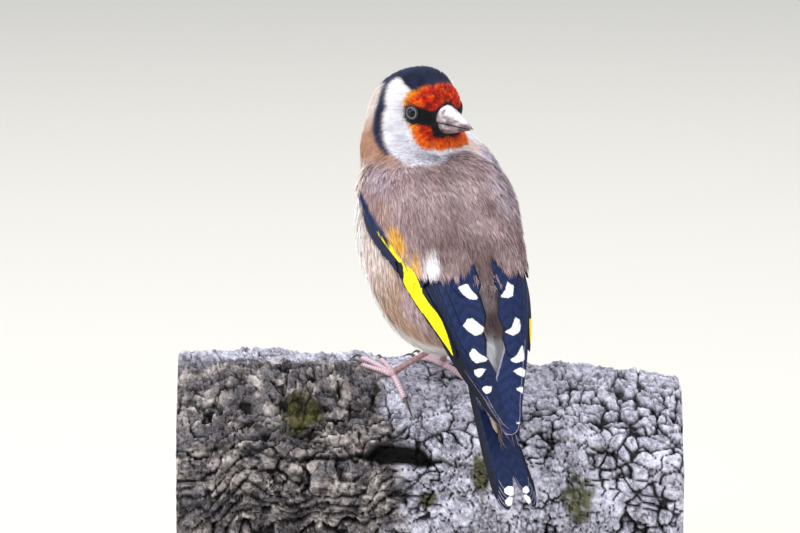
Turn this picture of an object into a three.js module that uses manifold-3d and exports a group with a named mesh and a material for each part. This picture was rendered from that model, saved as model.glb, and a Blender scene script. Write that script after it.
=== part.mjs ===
// A European goldfinch at life size, looking back over its shoulder, on a cut length of
// weathered log that a plain display stand holds. Millimetres, +Z up. The origin is the
// centre of the stand base's underside; +Y is the way the bird's back is looked along.
import * as THREE from "three";
import { mergeVertices } from "three/addons/utils/BufferGeometryUtils.js";
import Module from "manifold-3d";

const wasm = await Module();
wasm.setup();

// Driving dimensions
const GAP = 0.3; // clearance that touching pieces keep
const BODY_CENTRE = [2.6, -10, 101]; // middle of the torso
const BODY_YAW = 27.5; // heading, degrees from +Y towards -X
const BODY_PITCH = 53; // how steeply the body's axis rises
const HEAD_CENTRE = [-1.5, 1, 135.4];
const HEAD_YAW = -143; // heading of the bill, degrees from +Y towards -X
const HEAD_PITCH = -6;
const BILL_LENGTH = 11.2;
const BILL_DEPTH = 7.3;
const BILL_WIDTH = 6.6;
const EYE_RADIUS = 1.85;
const TARSUS_RADIUS = 0.75;
const TAIL_LENGTH = 41;
const TAIL_FORK = 5; // how much longer the outer tail feathers are than the middle pair
const VANE_THICKNESS = 0.5;
const LOG_RADIUS = 28.5;
const LOG_LENGTH = 124;
const LOG_AXIS_Y = 5;
const LOG_DROP = 9; // how far the log's right end falls below its left one
const BASE_SIZE = [122, 100, 8];
const BASE_CORNER = 14;
const BASE_BEVEL = 1.2;
const ROD_RADIUS = 3.2;
const ROD_LENGTH = 9;
const ROD_X = 34;
const LOG_AXIS_Z = BASE_SIZE[2] + ROD_LENGTH + LOG_RADIUS;

const radians = THREE.MathUtils.degToRad;
const V = (x, y, z) => new THREE.Vector3(x, y, z);

// A frame of a body part: along its heading, to its right and up out of its back.
function partFrame(centre, yaw, pitch) {
  const level = V(-Math.sin(radians(yaw)), Math.cos(radians(yaw)), 0);
  const along = level.clone().multiplyScalar(Math.cos(radians(pitch)));
  along.z = Math.sin(radians(pitch));
  const right = V(level.y, -level.x, 0);
  const up = right.clone().cross(along);
  const origin = V(...centre);
  const place = (a, s, d) =>
    origin.clone().addScaledVector(along, a).addScaledVector(right, s).addScaledVector(up, d);
  return { origin, along, right, up, place };
}
const body = partFrame(BODY_CENTRE, BODY_YAW, BODY_PITCH);
const head = partFrame(HEAD_CENTRE, HEAD_YAW, HEAD_PITCH);

// The bird's flesh and small feathers: rounded masses that melt into one another.
// Each has its frame, its centre and its half sizes along, across and up that frame.
const MASSES = [
  [body, [6.3, -0.4, -2.1], [24.4, 17.6, 16.9]], // breast
  [body, [-4.8, -0.4, -1.4], [19.6, 17.9, 14.0]], // belly
  [body, [2, 0, 6], [24, 14.5, 10.5]], // back
  [body, [-23.0, 0, 5.0], [14.4, 7.7, 5.2]], // rump
  [body, [-34.1, 0, -0.1], [16.4, 3.1, 3.4]], // vent
  [body, [15.4, 0.4, 5.8], [14.2, 21.0, 7.1]], // shoulders
  [body, [21.7, 0.5, -3.4], [13.0, 12.9, 12.5]], // crop
  [head, [-6.3, 1.1, -10.0], [9.9, 10.9, 11.0]], // neck
  [head, [-2.2, -0.1, 1.2], [7.2, 10.8, 10.1]], // skull
  [head, [3.7, 0, 2.6], [6.2, 7.0, 6.6]], // forehead
  [head, [4.4, 0, -1.2], [5.8, 6.2, 5.4]], // face
  [head, [4.0, 0, -4.4], [6.8, 6.4, 4.8]], // chin
  [head, [2.5, 0, -8.0], [8.8, 9.2, 5.2]], // throat
  [head, [-5.6, 1.6, -1.1], [9.3, 8.6, 9.9]], // nape
  [body, [23.4, 9.0, 3.2], [8.9, 10.7, 9.5]], // right side of the neck
];
const MELT = 3.2; // how widely neighbouring masses blend, mm

// Distance-like value of a point: negative inside the bird, about millimetres near its skin.
function skinValue(p) {
  let value = Infinity;
  for (const [frame, at, size] of MASSES) {
    const q = p.clone().sub(frame.origin);
    const local = V(q.dot(frame.along) - at[0], q.dot(frame.right) - at[1], q.dot(frame.up) - at[2]);
    const scaled = V(local.x / size[0], local.y / size[1], local.z / size[2]);
    const k0 = scaled.length();
    const k1 = V(scaled.x / size[0], scaled.y / size[1], scaled.z / size[2]).length() || 1e-9;
    const d = (k0 * (k0 - 1)) / k1;
    const h = Math.max(MELT - Math.abs(value - d), 0) / MELT;
    value = value === Infinity ? d : Math.min(value, d) - (h * h * MELT) / 4;
  }
  return value;
}

// Where a ray from inside the bird first crosses the level of the skin grown by offset, or
// its point at reach if it doesn't.
function skinPoint(origin, direction, offset, reach = 40) {
  const at = (distance) => origin.clone().addScaledVector(direction, distance);
  const stride = 1.5;
  let far = 0;
  while (far < reach && skinValue(at(far)) < offset) far += stride;
  if (far >= reach) return at(reach);
  let near = Math.max(far - stride, 0);
  for (let n = 0; n < 12; n++) {
    const middle = (near + far) / 2;
    if (skinValue(at(middle)) < offset) near = middle;
    else far = middle;
  }
  return at(near);
}

// Geometry and solids
function geometryOf(points, faces) {
  const g = new THREE.BufferGeometry();
  g.setAttribute("position", new THREE.Float32BufferAttribute(points.flatMap((p) => [p.x, p.y, p.z]), 3));
  g.setIndex(faces.flat());
  return g;
}

function solidOf(geometry) {
  const bare = geometry.clone();
  bare.deleteAttribute("normal");
  bare.deleteAttribute("uv");
  const g = mergeVertices(bare, 1e-4);
  const made = new wasm.Manifold(
    new wasm.Mesh({
      numProp: 3,
      vertProperties: new Float32Array(g.attributes.position.array),
      triVerts: new Uint32Array(g.index.array),
    }),
  );
  return made;
}

// A closed body through rings of equally many points; a ring of one point is a tip.
function loftOf(rings) {
  const points = rings.flat();
  const starts = [];
  rings.reduce((n, r) => (starts.push(n), n + r.length), 0);
  const faces = [];
  for (let i = 0; i + 1 < rings.length; i++) {
    const [a, b] = [rings[i].length, rings[i + 1].length];
    const count = Math.max(a, b);
    for (let j = 0; j < count; j++) {
      const k = (j + 1) % count;
      const [p, q] = [starts[i] + (a > 1 ? j : 0), starts[i] + (a > 1 ? k : 0)];
      const [r, s] = [starts[i + 1] + (b > 1 ? j : 0), starts[i + 1] + (b > 1 ? k : 0)];
      if (a > 1) faces.push([p, q, r]);
      if (b > 1) faces.push([q, s, r]);
    }
  }
  const cap = (ring, start, flip) => {
    if (ring.length < 3) return;
    const centre = ring.reduce((sum, p) => sum.add(p), V(0, 0, 0)).divideScalar(ring.length);
    points.push(centre);
    ring.forEach((_, j) => {
      const [p, q] = [start + j, start + ((j + 1) % ring.length)];
      faces.push(flip ? [q, p, points.length - 1] : [p, q, points.length - 1]);
    });
  };
  cap(rings[0], 0, true);
  cap(rings.at(-1), starts.at(-1), false);
  const made = solidOf(geometryOf(points, faces));
  return made.volume() < 0 ? solidOf(geometryOf(points, faces.map(([a, b, c]) => [a, c, b]))) : made;
}

const largest = (s) => s.decompose().reduce((a, b) => (a.volume() > b.volume() ? a : b));
const union = (list) => wasm.Manifold.union(list);

const model = new THREE.Group();
function addNode(name, solid, colour, roughness, metalness = 0) {
  const kept = largest(solid);
  const m = kept.getMesh();
  const g = new THREE.BufferGeometry();
  const flat = new Float32Array(m.numVert * 3);
  for (let i = 0; i < m.numVert; i++) flat.set(m.vertProperties.subarray(i * m.numProp, i * m.numProp + 3), i * 3);
  g.setAttribute("position", new THREE.BufferAttribute(flat, 3));
  g.setIndex(new THREE.BufferAttribute(new Uint32Array(m.triVerts), 1));
  const mesh = new THREE.Mesh(g, new THREE.MeshStandardMaterial({ color: colour, roughness, metalness }));
  mesh.name = name;
  model.add(mesh);
  return kept;
}

// Value at x of a smooth curve through rows of [x, value, value, ...], x falling or rising.
function keyed(rows, x) {
  const up = rows[0][0] < rows.at(-1)[0];
  const r = up ? rows : [...rows].reverse();
  const t = THREE.MathUtils.clamp(x, r[0][0], r.at(-1)[0]);
  let i = 0;
  while (i + 2 < r.length && t > r[i + 1][0]) i++;
  const h = r[i + 1][0] - r[i][0];
  const u = (t - r[i][0]) / h;
  const slope = (k, c) => {
    if (k <= 0 || k >= r.length - 1) {
      const [p, q] = k <= 0 ? [r[0], r[1]] : [r.at(-2), r.at(-1)];
      return (q[c] - p[c]) / (q[0] - p[0]);
    }
    return (r[k + 1][c] - r[k - 1][c]) / (r[k + 1][0] - r[k - 1][0]);
  };
  return r[i].slice(1).map((v0, c) => {
    const v1 = r[i + 1][c + 1];
    const [m0, m1] = [slope(i, c + 1) * h, slope(i + 1, c + 1) * h];
    const [u2, u3] = [u * u, u * u * u];
    return (2 * u3 - 3 * u2 + 1) * v0 + (u3 - 2 * u2 + u) * m0 + (3 * u2 - 2 * u3) * v1 + (u3 - u2) * m1;
  });
}

// The torso's skin as rings round the body's axis, closed towards the neck by rings that fan
// over its front end
const TORSO_RINGS = 28; // points in a ring
const TORSO_END = 20; // how far along the axis the fan's centre stands
const TAIL_START = -29; // where the torso begins, past the tail coverts
const COVERTS_START = -47.5;
function torsoRing(a, offset, tilt = 0) {
  const centre = body.place(a, -0.2, 0.5 + 0.03 * a);
  return Array.from({ length: TORSO_RINGS }, (_, j) => {
    const angle = (2 * Math.PI * j) / TORSO_RINGS;
    const out = body.up.clone().multiplyScalar(Math.cos(angle)).addScaledVector(body.right, -Math.sin(angle));
    out.multiplyScalar(Math.cos(tilt)).addScaledVector(body.along, Math.sin(tilt));
    return skinPoint(centre, out, offset, 24);
  });
}
function torsoSkin(from, to, steps, offset = 0) {
  const rings = [];
  for (let i = 0; i <= steps; i++) rings.push(torsoRing(from + ((to - from) * i) / steps, offset));
  if (to === TORSO_END) {
    const fanSteps = 5;
    for (let i = 1; i < fanSteps; i++) rings.push(torsoRing(to, offset, ((Math.PI / 2) * i) / fanSteps));
    rings.push([skinPoint(body.place(to, -0.2, 0.5 + 0.03 * to), body.along, offset, 24)]);
  }
  return loftOf(rings);
}

// Skin seen from one point inside it, as far as reach: the head and the neck
function roundSkin(centre, reach, rows, columns, offset = 0) {
  const rings = [];
  for (let i = 0; i <= rows; i++) {
    const polar = (Math.PI * i) / rows;
    const ray = (turn) => V(Math.sin(polar) * Math.cos(turn), Math.sin(polar) * Math.sin(turn), -Math.cos(polar));
    const count = i === 0 || i === rows ? 1 : columns;
    rings.push(Array.from({ length: count }, (_, j) => skinPoint(centre, ray((2 * Math.PI * j) / columns), offset, reach)));
  }
  return loftOf(rings);
}
const headSkin = (offset) => roundSkin(head.place(-1.4, 0, -1.5), 18, 16, 28, offset);
const neckSkin = (offset) => roundSkin(head.place(-6.5, 0, -13), 21, 12, 28, offset);

// Planes that part the head from the neck and the neck from the torso
const THROAT = { normal: V(0, 0, 1).addScaledVector(body.along, 0.3).normalize(), at: head.place(-1.4, 0, -11) };
const COLLAR = { normal: V(0, 0, 0.5).add(body.along).normalize(), at: head.place(-6.5, 0, -17.5) };
function keep(solid, plane, above) {
  const sign = above ? 1 : -1;
  const normal = plane.normal.clone().multiplyScalar(sign);
  return solid.trimByPlane(normal.toArray(), normal.dot(plane.at) + GAP / 2);
}
const torsoGrown = torsoSkin(TAIL_START - GAP, TORSO_END, 16, GAP);
const grown = union([torsoSkin(COVERTS_START, TORSO_END, 20, GAP), neckSkin(GAP), headSkin(GAP)]);

// Eyes, sunk in the head, each behind a raised ring of lids
const EYE_PLACE = [3.9, 5.1, 1.9];
const EYE_TURN = 72; // the eye's axis, degrees from the bill's direction
const LID_RADIUS = 1.7;
const LID_THICKNESS = 0.38;
function eyeFrame(side) {
  const axis = head.along.clone().multiplyScalar(Math.cos(radians(EYE_TURN)));
  axis.addScaledVector(head.right, side * Math.sin(radians(EYE_TURN))).normalize();
  const centre = head.place(EYE_PLACE[0], side * EYE_PLACE[1], EYE_PLACE[2]);
  const surface = skinPoint(centre, axis, 0);
  return { axis, surface, centre: surface.clone().addScaledVector(axis, -EYE_RADIUS * 0.72) };
}
function ballAt(centre, radius, detail = 12) {
  return solidOf(new THREE.SphereGeometry(radius, detail, Math.round(detail * 0.7)).translate(...centre.toArray()));
}
function lidRing(frame) {
  const turn = new THREE.Quaternion().setFromUnitVectors(V(0, 0, 1), frame.axis);
  const ring = new THREE.TorusGeometry(LID_RADIUS, LID_THICKNESS, 5, 14);
  ring.scale(1, 0.92, 1).applyQuaternion(turn);
  const at = frame.surface.clone().addScaledVector(frame.axis, -0.15);
  return solidOf(ring.translate(...at.toArray()));
}

// Head, neck and torso
let headSolid = keep(headSkin(0), THROAT, true);
for (const side of [-1, 1]) {
  const frame = eyeFrame(side);
  headSolid = headSolid.add(lidRing(frame)).subtract(ballAt(frame.centre, EYE_RADIUS + GAP));
}
const FEATHER_BROWN = 0x8a6f5c;
addNode("head", headSolid, 0xe9e2dc, 0.8);
for (const [word, side] of [["left", -1], ["right", 1]]) {
  addNode(`eye_${word}`, ballAt(eyeFrame(side).centre, EYE_RADIUS, 16), 0x120d0b, 0.05);
}
addNode("neck", keep(keep(neckSkin(0), THROAT, false), COLLAR, true), FEATHER_BROWN, 0.85);
addNode("torso", keep(keep(torsoSkin(TAIL_START, TORSO_END, 16), COLLAR, false), THROAT, false), FEATHER_BROWN, 0.85);

// Bill: two cones that part along the line of the mouth
const BILL_ROOT = 6.4; // how far ahead of the head's centre the cones begin, inside the face
const BILL_BASE = 8.8; // how far ahead of the head's centre the face ends at the bill
const BILL_RISE = 0.6;
const MOUTH_DROP = 0.5;
const UPPER_SHARE = 0.54; // share of the bill's depth above the line of the mouth
const NOSTRIL_RADIUS = 0.4;
function billHalf(upper) {
  const tipReach = BILL_BASE + BILL_LENGTH - (upper ? 0 : 0.9);
  const steps = 8;
  const arcPoints = 9;
  const sign = upper ? 1 : -1;
  const rings = [];
  for (let i = 0; i <= steps; i++) {
    const t = i / steps;
    const reach = BILL_ROOT + (tipReach - BILL_ROOT) * t;
    const taper = Math.max(Math.pow(1 - t, 0.82) * (1 + 0.1 * Math.sin(Math.PI * t)), 0.02);
    const share = upper ? UPPER_SHARE : 1 - UPPER_SHARE;
    const rise = BILL_DEPTH * share * taper * 1.12;
    const half = (BILL_WIDTH / 2) * taper * 1.1 * (upper ? 1 : 0.94);
    const mouth = BILL_RISE - MOUTH_DROP * (1 - t) + sign * (GAP / 2) - 0.3 * t;
    const ring = [];
    for (let j = 0; j < arcPoints; j++) {
      const angle = (Math.PI * j) / (arcPoints - 1);
      ring.push(head.place(reach, half * Math.cos(angle), mouth + sign * (rise * Math.pow(Math.sin(angle), 0.85) + 0.02)));
    }
    rings.push(i < steps ? ring : [head.place(tipReach, 0, mouth + sign * 0.1)]);
  }
  return loftOf(rings).subtract(grown);
}
let billUpper = billHalf(true);
for (const side of [-1, 1]) {
  billUpper = billUpper.subtract(ballAt(head.place(BILL_BASE + 2.2, side * 2.05, BILL_RISE + 2.35), NOSTRIL_RADIUS, 8));
}
addNode("bill_upper", billUpper, 0xd9c3bd, 0.35);
addNode("bill_lower", billHalf(false), 0xcdb8b0, 0.35);

// A folded wing: stations along the body with its lower edge, the bulge between and its inner
// edge, each as distance out to the side and height above the body's axis
const WING_STATIONS = [
  [22, 15.0, 2.0, 18.0, 8.0, 12.5, 14.0],
  [10, 18.0, 2.5, 20.0, 15.0, 9.0, 19.0],
  [-4, 15.9, 5.5, 17.4, 16.8, 5.3, 19.0],
  [-18, 14.6, 7.6, 15.4, 16.0, 2.8, 17.2],
  [-32, 11.0, 7.6, 11.0, 12.6, 1.4, 12.0],
  [-44, 5.9, 7.4, 5.2, 10.2, 0.6, 9.6],
  [-58, 0.6, 7.4, 0.4, 8.4, -0.4, 8.2],
];
function wingPoint(side, a, w, lift) {
  const cross = (station) => {
    const [s0, d0, s1, d1, s2, d2] = keyed(WING_STATIONS, station);
    const blend = (p, q, r) => (1 - w) * (1 - w) * p + 2 * w * (1 - w) * q + w * w * r;
    return [blend(s0, s1, s2), blend(d0, d1, d2)];
  };
  const [s0, d0, s1, d1, s2, d2] = keyed(WING_STATIONS, a);
  const [s, d] = cross(a);
  const slope = (p, q, r) => 2 * (1 - w) * (q - p) + 2 * w * (r - q);
  const across = V(0, slope(s0, s1, s2), slope(d0, d1, d2));
  const [sNext, dNext] = cross(a - 1);
  const along = V(-1, sNext - s, dNext - d);
  const n = along.cross(across).normalize();
  if (n.y * s + n.z * d < 0) n.negate();
  return body.place(a + n.x * lift, side * (s + n.y * lift), d + n.z * lift);
}
function wingWidth(a) {
  const [s0, d0, s1, d1, s2, d2] = keyed(WING_STATIONS, a);
  const chord = Math.hypot(s2 - s0, d2 - d0);
  return (chord + Math.hypot(s1 - s0, d1 - d0) + Math.hypot(s2 - s1, d2 - d1)) / 2;
}

// One feather of the wing as a thin plate that follows the wing's surface
const VANE_ROWS = [0, 0.5, 0.86, 1];
const VANE_WIDTHS = [0.75, 1, 0.84, 0.14];
function wingVane(side, [a0, w0], [a1, w1], width, lift0, lift1) {
  const rings = VANE_ROWS.map((t, i) => {
    const a = a0 + (a1 - a0) * t;
    const w = w0 + (w1 - w0) * Math.pow(t, 0.9);
    const half = (width * VANE_WIDTHS[i]) / 2 / wingWidth(a);
    const lift = lift0 + (lift1 - lift0) * t;
    const thick = VANE_THICKNESS * (i === VANE_ROWS.length - 1 ? 0.5 : 1);
    const [lo, hi] = [Math.max(w - half, -0.02), Math.min(w + half, 1.02)];
    return [
      wingPoint(side, a, lo, lift - thick),
      wingPoint(side, a, lo, lift),
      wingPoint(side, a, hi, lift),
      wingPoint(side, a, hi, lift - thick),
    ];
  });
  return loftOf(rings);
}

// The fan of flight feathers: each row is a count, the root's and the tip's first and last
// place on the wing, the width, and the first and last lift of the layer
const TERTIAL_TIPS = [[-33.6, 0.72], [-27, 0.82], [-19, 0.9]];
const PRIMARIES = 9;
const SECONDARIES = 6;
function wingVanes(side) {
  const vanes = [];
  const mix = THREE.MathUtils.lerp;
  for (let i = 0; i < PRIMARIES; i++) {
    const t = i / (PRIMARIES - 1); // 0 is the outermost and lowest
    const tip = mix(-55.5, -38.5, Math.pow(t, 1.25)) - (i === 0 ? -1.5 : 0);
    vanes.push(wingVane(side, [mix(-4, -12, t), mix(0.1, 0.34, t)], [tip, mix(0.42, 0.5, t)], mix(4.2, 5.4, t),
      mix(-2.2, -1.0, t), mix(-1.0, -0.55, t)));
  }
  for (let i = 0; i < SECONDARIES; i++) {
    const t = i / (SECONDARIES - 1);
    vanes.push(wingVane(side, [mix(-8, -2, t), mix(0.36, 0.62, t)], [mix(-37.5, -35, t), mix(0.5, 0.66, t)], 5.6,
      mix(-1.3, -0.6, t), mix(-0.75, -0.35, t)));
  }
  TERTIAL_TIPS.forEach((tip, i) => {
    vanes.push(wingVane(side, [0, 0.68 + 0.1 * i], tip, 6.6 - 0.2 * i, -0.5 + 0.25 * i, -0.1 + 0.2 * i));
  });
  const coverts = (count, from, to, tipFrom, tipTo, width, lift) => {
    for (let i = 0; i < count; i++) {
      const t = count > 1 ? i / (count - 1) : 0;
      vanes.push(wingVane(side, [mix(from[0], to[0], t), mix(from[1], to[1], t)],
        [mix(tipFrom[0], tipTo[0], t), mix(tipFrom[1], tipTo[1], t)], width, lift - 0.1 * (i % 2), lift));
    }
  };
  coverts(4, [8, 0.08], [5, 0.2], [-12.5, 0.08], [-11, 0.24], 3.6, -0.15); // primary coverts
  coverts(6, [4, 0.3], [6, 0.86], [-12.5, 0.34], [-10.5, 0.86], 4.8, 0.1); // greater coverts
  coverts(5, [10, 0.24], [12, 0.82], [-4.5, 0.24], [-3, 0.82], 5.6, 0.4); // median coverts
  coverts(2, [14, 0.03], [12, 0.12], [-4, 0.04], [-1.5, 0.14], 3.0, 0.2); // alula
  return vanes;
}

// The arm under the feathers, reaching into the body so that its inner face can be cut to it
const ARM_STATIONS = [22.5, 18, 10, 0, -10, -19];
const ARM_DEPTHS = [3, 8, 10, 10, 8, 4];
const ARM_LIFTS = [-1.6, -0.2, 0.25, 0.1, -0.35, -0.9];
const ARM_EDGES = [0.18, 0, 0, 0, 0.06, 0.2];
function wingArm(side) {
  const steps = 5;
  return loftOf(ARM_STATIONS.map((a, i) => {
    const ring = [];
    const edge = ARM_EDGES[i];
    const place = (k) => edge + ((1 - 2 * edge) * k) / steps;
    for (let k = 0; k <= steps; k++) ring.push(wingPoint(side, a, place(k), ARM_LIFTS[i]));
    for (let k = steps; k >= 0; k -= 1) {
      const p = wingPoint(side, a, place(k), ARM_LIFTS[i]);
      const axis = body.place(a, 0, 0);
      ring.push(p.lerp(axis, Math.min(ARM_DEPTHS[i] / p.distanceTo(axis), 0.9)));
    }
    return ring;
  }));
}

// Tail: the coverts round its root and two stacks of six feathers, each a little wider set
const TAIL_ROOT = -27;
const RECTRIX_WIDTH = 5.4;
function rectrix(side, i) {
  const length = TAIL_LENGTH - TAIL_FORK + TAIL_FORK * Math.pow(i / 5, 0.7) - (i === 5 ? 1 : 0);
  const rings = VANE_ROWS.map((t, k) => {
    const a = TAIL_ROOT - length * t;
    const mid = side * (0.9 + 1.45 * t + i * (0.12 + 0.2 * t));
    const half = (RECTRIX_WIDTH * VANE_WIDTHS[k] * (0.75 + 0.25 * t)) / 2;
    const top = 1.6 - i * 0.24 - 1.6 * t;
    const thick = VANE_THICKNESS * (k === VANE_ROWS.length - 1 ? 0.5 : 1);
    const droop = (s) => -0.1 * Math.abs(s) * (0.4 + t);
    const at = (s, d) => body.place(a, s, d + droop(s));
    return [at(mid - half, top - thick), at(mid - half, top), at(mid + half, top), at(mid + half, top - thick)];
  });
  return loftOf(rings);
}
// The long coverts over the tail's root: each row is the tip's distance along the body and
// out to the right, and the height of the root and the tip above the body's axis
const LONG_COVERTS = [[-47, -2.3, 6.2, 4.0], [-53, 0.3, 6.6, 4.6], [-49, 2.6, 6.0, 4.2]];
const COVERT_ROOT = -28;
const COVERT_WIDTH = 4.6;
function longCovert([tip, out, high, low]) {
  const rings = VANE_ROWS.map((t, k) => {
    const mid = out * (0.4 + 0.6 * t);
    const half = (COVERT_WIDTH * VANE_WIDTHS[k]) / 2;
    const top = high + (low - high) * t;
    const thick = VANE_THICKNESS * (k === VANE_ROWS.length - 1 ? 0.5 : 1);
    const at = (s, d) => body.place(COVERT_ROOT + (tip - COVERT_ROOT) * t, s, d);
    return [at(mid - half, top - thick), at(mid - half, top), at(mid + half, top), at(mid + half, top - thick)];
  });
  return loftOf(rings);
}
const tailPieces = [torsoSkin(COVERTS_START, TAIL_START - GAP, 6), ...LONG_COVERTS.map(longCovert)];
for (const side of [-1, 1]) for (let i = 0; i < 6; i++) tailPieces.push(rectrix(side, i));
const tail = union(tailPieces).subtract(torsoGrown);
const tailKept = addNode("tail", tail, 0x1b2233, 0.5);

const wingCut = [];
for (const [word, side] of [["right", 1], ["left", -1]]) {
  let wing = union([wingArm(side), ...wingVanes(side)]).subtract(grown).subtract(tailKept);
  wingCut.forEach((other) => (wing = wing.subtract(other)));
  wingCut.push(addNode(`wing_${word}`, wing, 0x1a2130, 0.5));
}

// Log: a bent cut length whose bark rises in plates between cracks
const wrapped = (angle) => Math.atan2(Math.sin(angle), Math.cos(angle));
function barkHeight(x, angle) {
  const ridge = Math.sin(angle * 7 + Math.sin(x * 0.055) * 2.2) * 0.9;
  const crack = Math.sin(x * 0.21 + Math.sin(angle * 3) * 2.4) * Math.sin(angle * 5 + x * 0.09) * 1.0;
  const knot = 3.4 * Math.exp(-(((x + 30) / 9) ** 2) - ((wrapped(angle) - 0.5) / 0.35) ** 2);
  return ridge + crack + knot;
}
const logCentre = (x) => V(x, LOG_AXIS_Y, LOG_AXIS_Z - (LOG_DROP * (x / LOG_LENGTH + 0.5) ** 2) / 1.4 + 1.2);
// A point of the log's surface; the angle is 0 at the top and grows towards the near side.
function logPoint(x, angle, offset = 0) {
  const calm = THREE.MathUtils.smoothstep(Math.hypot((x + 2) / 14, (wrapped(angle) - 0.25) / 0.55), 0.55, 1.1);
  const r = LOG_RADIUS + offset + barkHeight(x, angle) * (0.25 + 0.75 * calm);
  return logCentre(x).add(V(0, -r * Math.sin(angle), r * Math.cos(angle)));
}
function logSolid(offset) {
  const [steps, count] = [22, 40];
  const rings = [];
  for (let i = 0; i <= steps; i++) {
    const x = -LOG_LENGTH / 2 - offset + ((LOG_LENGTH + 2 * offset) * i) / steps;
    rings.push(Array.from({ length: count }, (_, j) => logPoint(x, (2 * Math.PI * j) / count, offset)));
  }
  return loftOf(rings);
}
const logGrown = logSolid(GAP);
addNode("perch_log", logSolid(0), 0x8d8687, 0.9);

// Stand: a flat base with eased corners, and two short rods up to the log
const [halfX, halfY] = [BASE_SIZE[0] / 2 - BASE_BEVEL, BASE_SIZE[1] / 2 - BASE_BEVEL];
const outline = new THREE.Shape();
outline.moveTo(-halfX + BASE_CORNER, -halfY);
for (const [cx, cy, turn] of [[1, -1, -0.5], [1, 1, 0], [-1, 1, 0.5], [-1, -1, 1]]) {
  outline.absarc(cx * (halfX - BASE_CORNER), cy * (halfY - BASE_CORNER), BASE_CORNER, turn * Math.PI, (turn + 0.5) * Math.PI);
}
outline.closePath();
const slab = new THREE.ExtrudeGeometry(outline, {
  depth: BASE_SIZE[2] - 2 * BASE_BEVEL,
  bevelThickness: BASE_BEVEL,
  bevelSize: BASE_BEVEL,
  bevelSegments: 2,
  curveSegments: 6,
});
addNode("stand_base", solidOf(slab.translate(0, 0, BASE_BEVEL)), 0x3a2c24, 0.4);
for (const [word, sign] of [["left", -1], ["right", 1]]) {
  const foot = BASE_SIZE[2] + GAP;
  const rod = new THREE.CylinderGeometry(ROD_RADIUS, ROD_RADIUS, ROD_LENGTH + 12, 20).rotateX(Math.PI / 2);
  rod.translate(sign * ROD_X, LOG_AXIS_Y, foot + (ROD_LENGTH + 12) / 2);
  addNode(`stand_rod_${word}`, solidOf(rod).subtract(logGrown), 0xb08d57, 0.3, 1);
}

// Legs and feet. Toes follow the log; each row is the toe's name, its turn from the foot's
// heading in degrees, its length, its radius and its claw's length
const TOES = [
  ["inner", -24, 8.6, 0.62, 3.4],
  ["middle", 0, 11.2, 0.66, 4.0],
  ["outer", 20, 8.8, 0.6, 3.4],
  ["hind", 158, 7.4, 0.72, 5.2],
];
const FEET = [
  ["left", -1, -9.0, 0.47, V(11.2, -6.2, 7.9), 44],
  ["right", 1, 3.2, 0.27, V(1.8, -7.4, 9.5), 30],
];
function tubeOf(points, radii, sides = 6) {
  const rings = points.map((p, i) => {
    const t = points[Math.min(i + 1, points.length - 1)].clone().sub(points[Math.max(i - 1, 0)]).normalize();
    const u = V(0.31, 0.17, 0.93).cross(t).normalize();
    const v = t.clone().cross(u);
    if (radii[i] < 0.02) return [p];
    return Array.from({ length: sides }, (_, j) => {
      const angle = (2 * Math.PI * j) / sides;
      return p.clone().addScaledVector(u, radii[i] * Math.cos(angle)).addScaledVector(v, radii[i] * Math.sin(angle));
    });
  });
  return loftOf(rings);
}
// A point on the log at a distance and turn from the foot, lifted off the bark
function toePoint(x, angle, turn, distance, lift) {
  const dx = -Math.sin(turn) * distance;
  const around = (-Math.cos(turn) * distance) / LOG_RADIUS;
  return logPoint(x + dx, angle + around, GAP + lift);
}
for (const [word, side, x, angle, shank, heading] of FEET) {
  const ankleLift = 1.5;
  const joint = toePoint(x, angle, 0, 0, ankleLift);
  const toes = [];
  for (const [toeWord, turn, length, radius, claw] of TOES) {
    const course = radians(heading + side * -turn);
    const steps = 4;
    const points = [joint.clone()];
    const radii = [radius * 1.15];
    for (let k = 1; k <= steps; k++) {
      const t = k / steps;
      const knuckle = 0.1 * Math.sin(Math.PI * t * 3) ** 2;
      points.push(toePoint(x, angle, course, length * t, radius * (1.02 - 0.2 * t) + 0.35 * Math.sin(Math.PI * t) * (1 - t)));
      radii.push(radius * (1.0 - 0.18 * t + knuckle));
    }
    toes.push(tubeOf(points, radii));
    const clawPoints = [];
    const clawRadii = [];
    const clawSteps = 5;
    for (let k = 0; k <= clawSteps; k++) {
      const t = k / clawSteps;
      const rise = radius * 0.8 + 0.9 * Math.sin(Math.PI * Math.min(t * 1.05, 1));
      clawPoints.push(toePoint(x, angle, course, length + GAP + 0.02 + claw * t, rise * (1 - 0.55 * t)));
      clawRadii.push(k === clawSteps ? 0 : radius * 0.78 * (1 - 0.72 * t));
    }
    const toeSolid = toes.at(-1);
    addNode(`claw_${word}_${toeWord}`, tubeOf(clawPoints, clawRadii, 6).subtract(logGrown).subtract(toeSolid), 0x4b3a35, 0.4);
  }
  const heel = joint.clone().add(shank);
  const cutAt = 0.13; // share of the shank that belongs to the foot
  const shankAt = (t) => joint.clone().lerp(heel, t);
  const footSolid = union([...toes, ballAt(joint, 1.15, 10), tubeOf([joint, shankAt(cutAt)], [0.95, TARSUS_RADIUS])]);
  addNode(`foot_${word}`, footSolid.subtract(logGrown), 0xc08e84, 0.6);
  const shankLength = shank.length();
  const lower = shankAt(cutAt + GAP / shankLength);
  const legPoints = [0, 0.35, 0.7, 1].map((t) => lower.clone().lerp(heel, t));
  const leg = tubeOf(legPoints, [0.78, 0.7, 0.74, 0.95].map((r) => (r * TARSUS_RADIUS) / 0.75), 8);
  addNode(`leg_${word}`, leg.subtract(grown), 0xb98277, 0.6);
}

export default model;
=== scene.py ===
"""A European goldfinch on a weathered log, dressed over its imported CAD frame."""
import math

import bmesh
import bpy
import numpy as np
from bpy.props import FloatProperty, FloatVectorProperty, IntProperty, PointerProperty
from mathutils import Matrix, Vector


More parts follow.
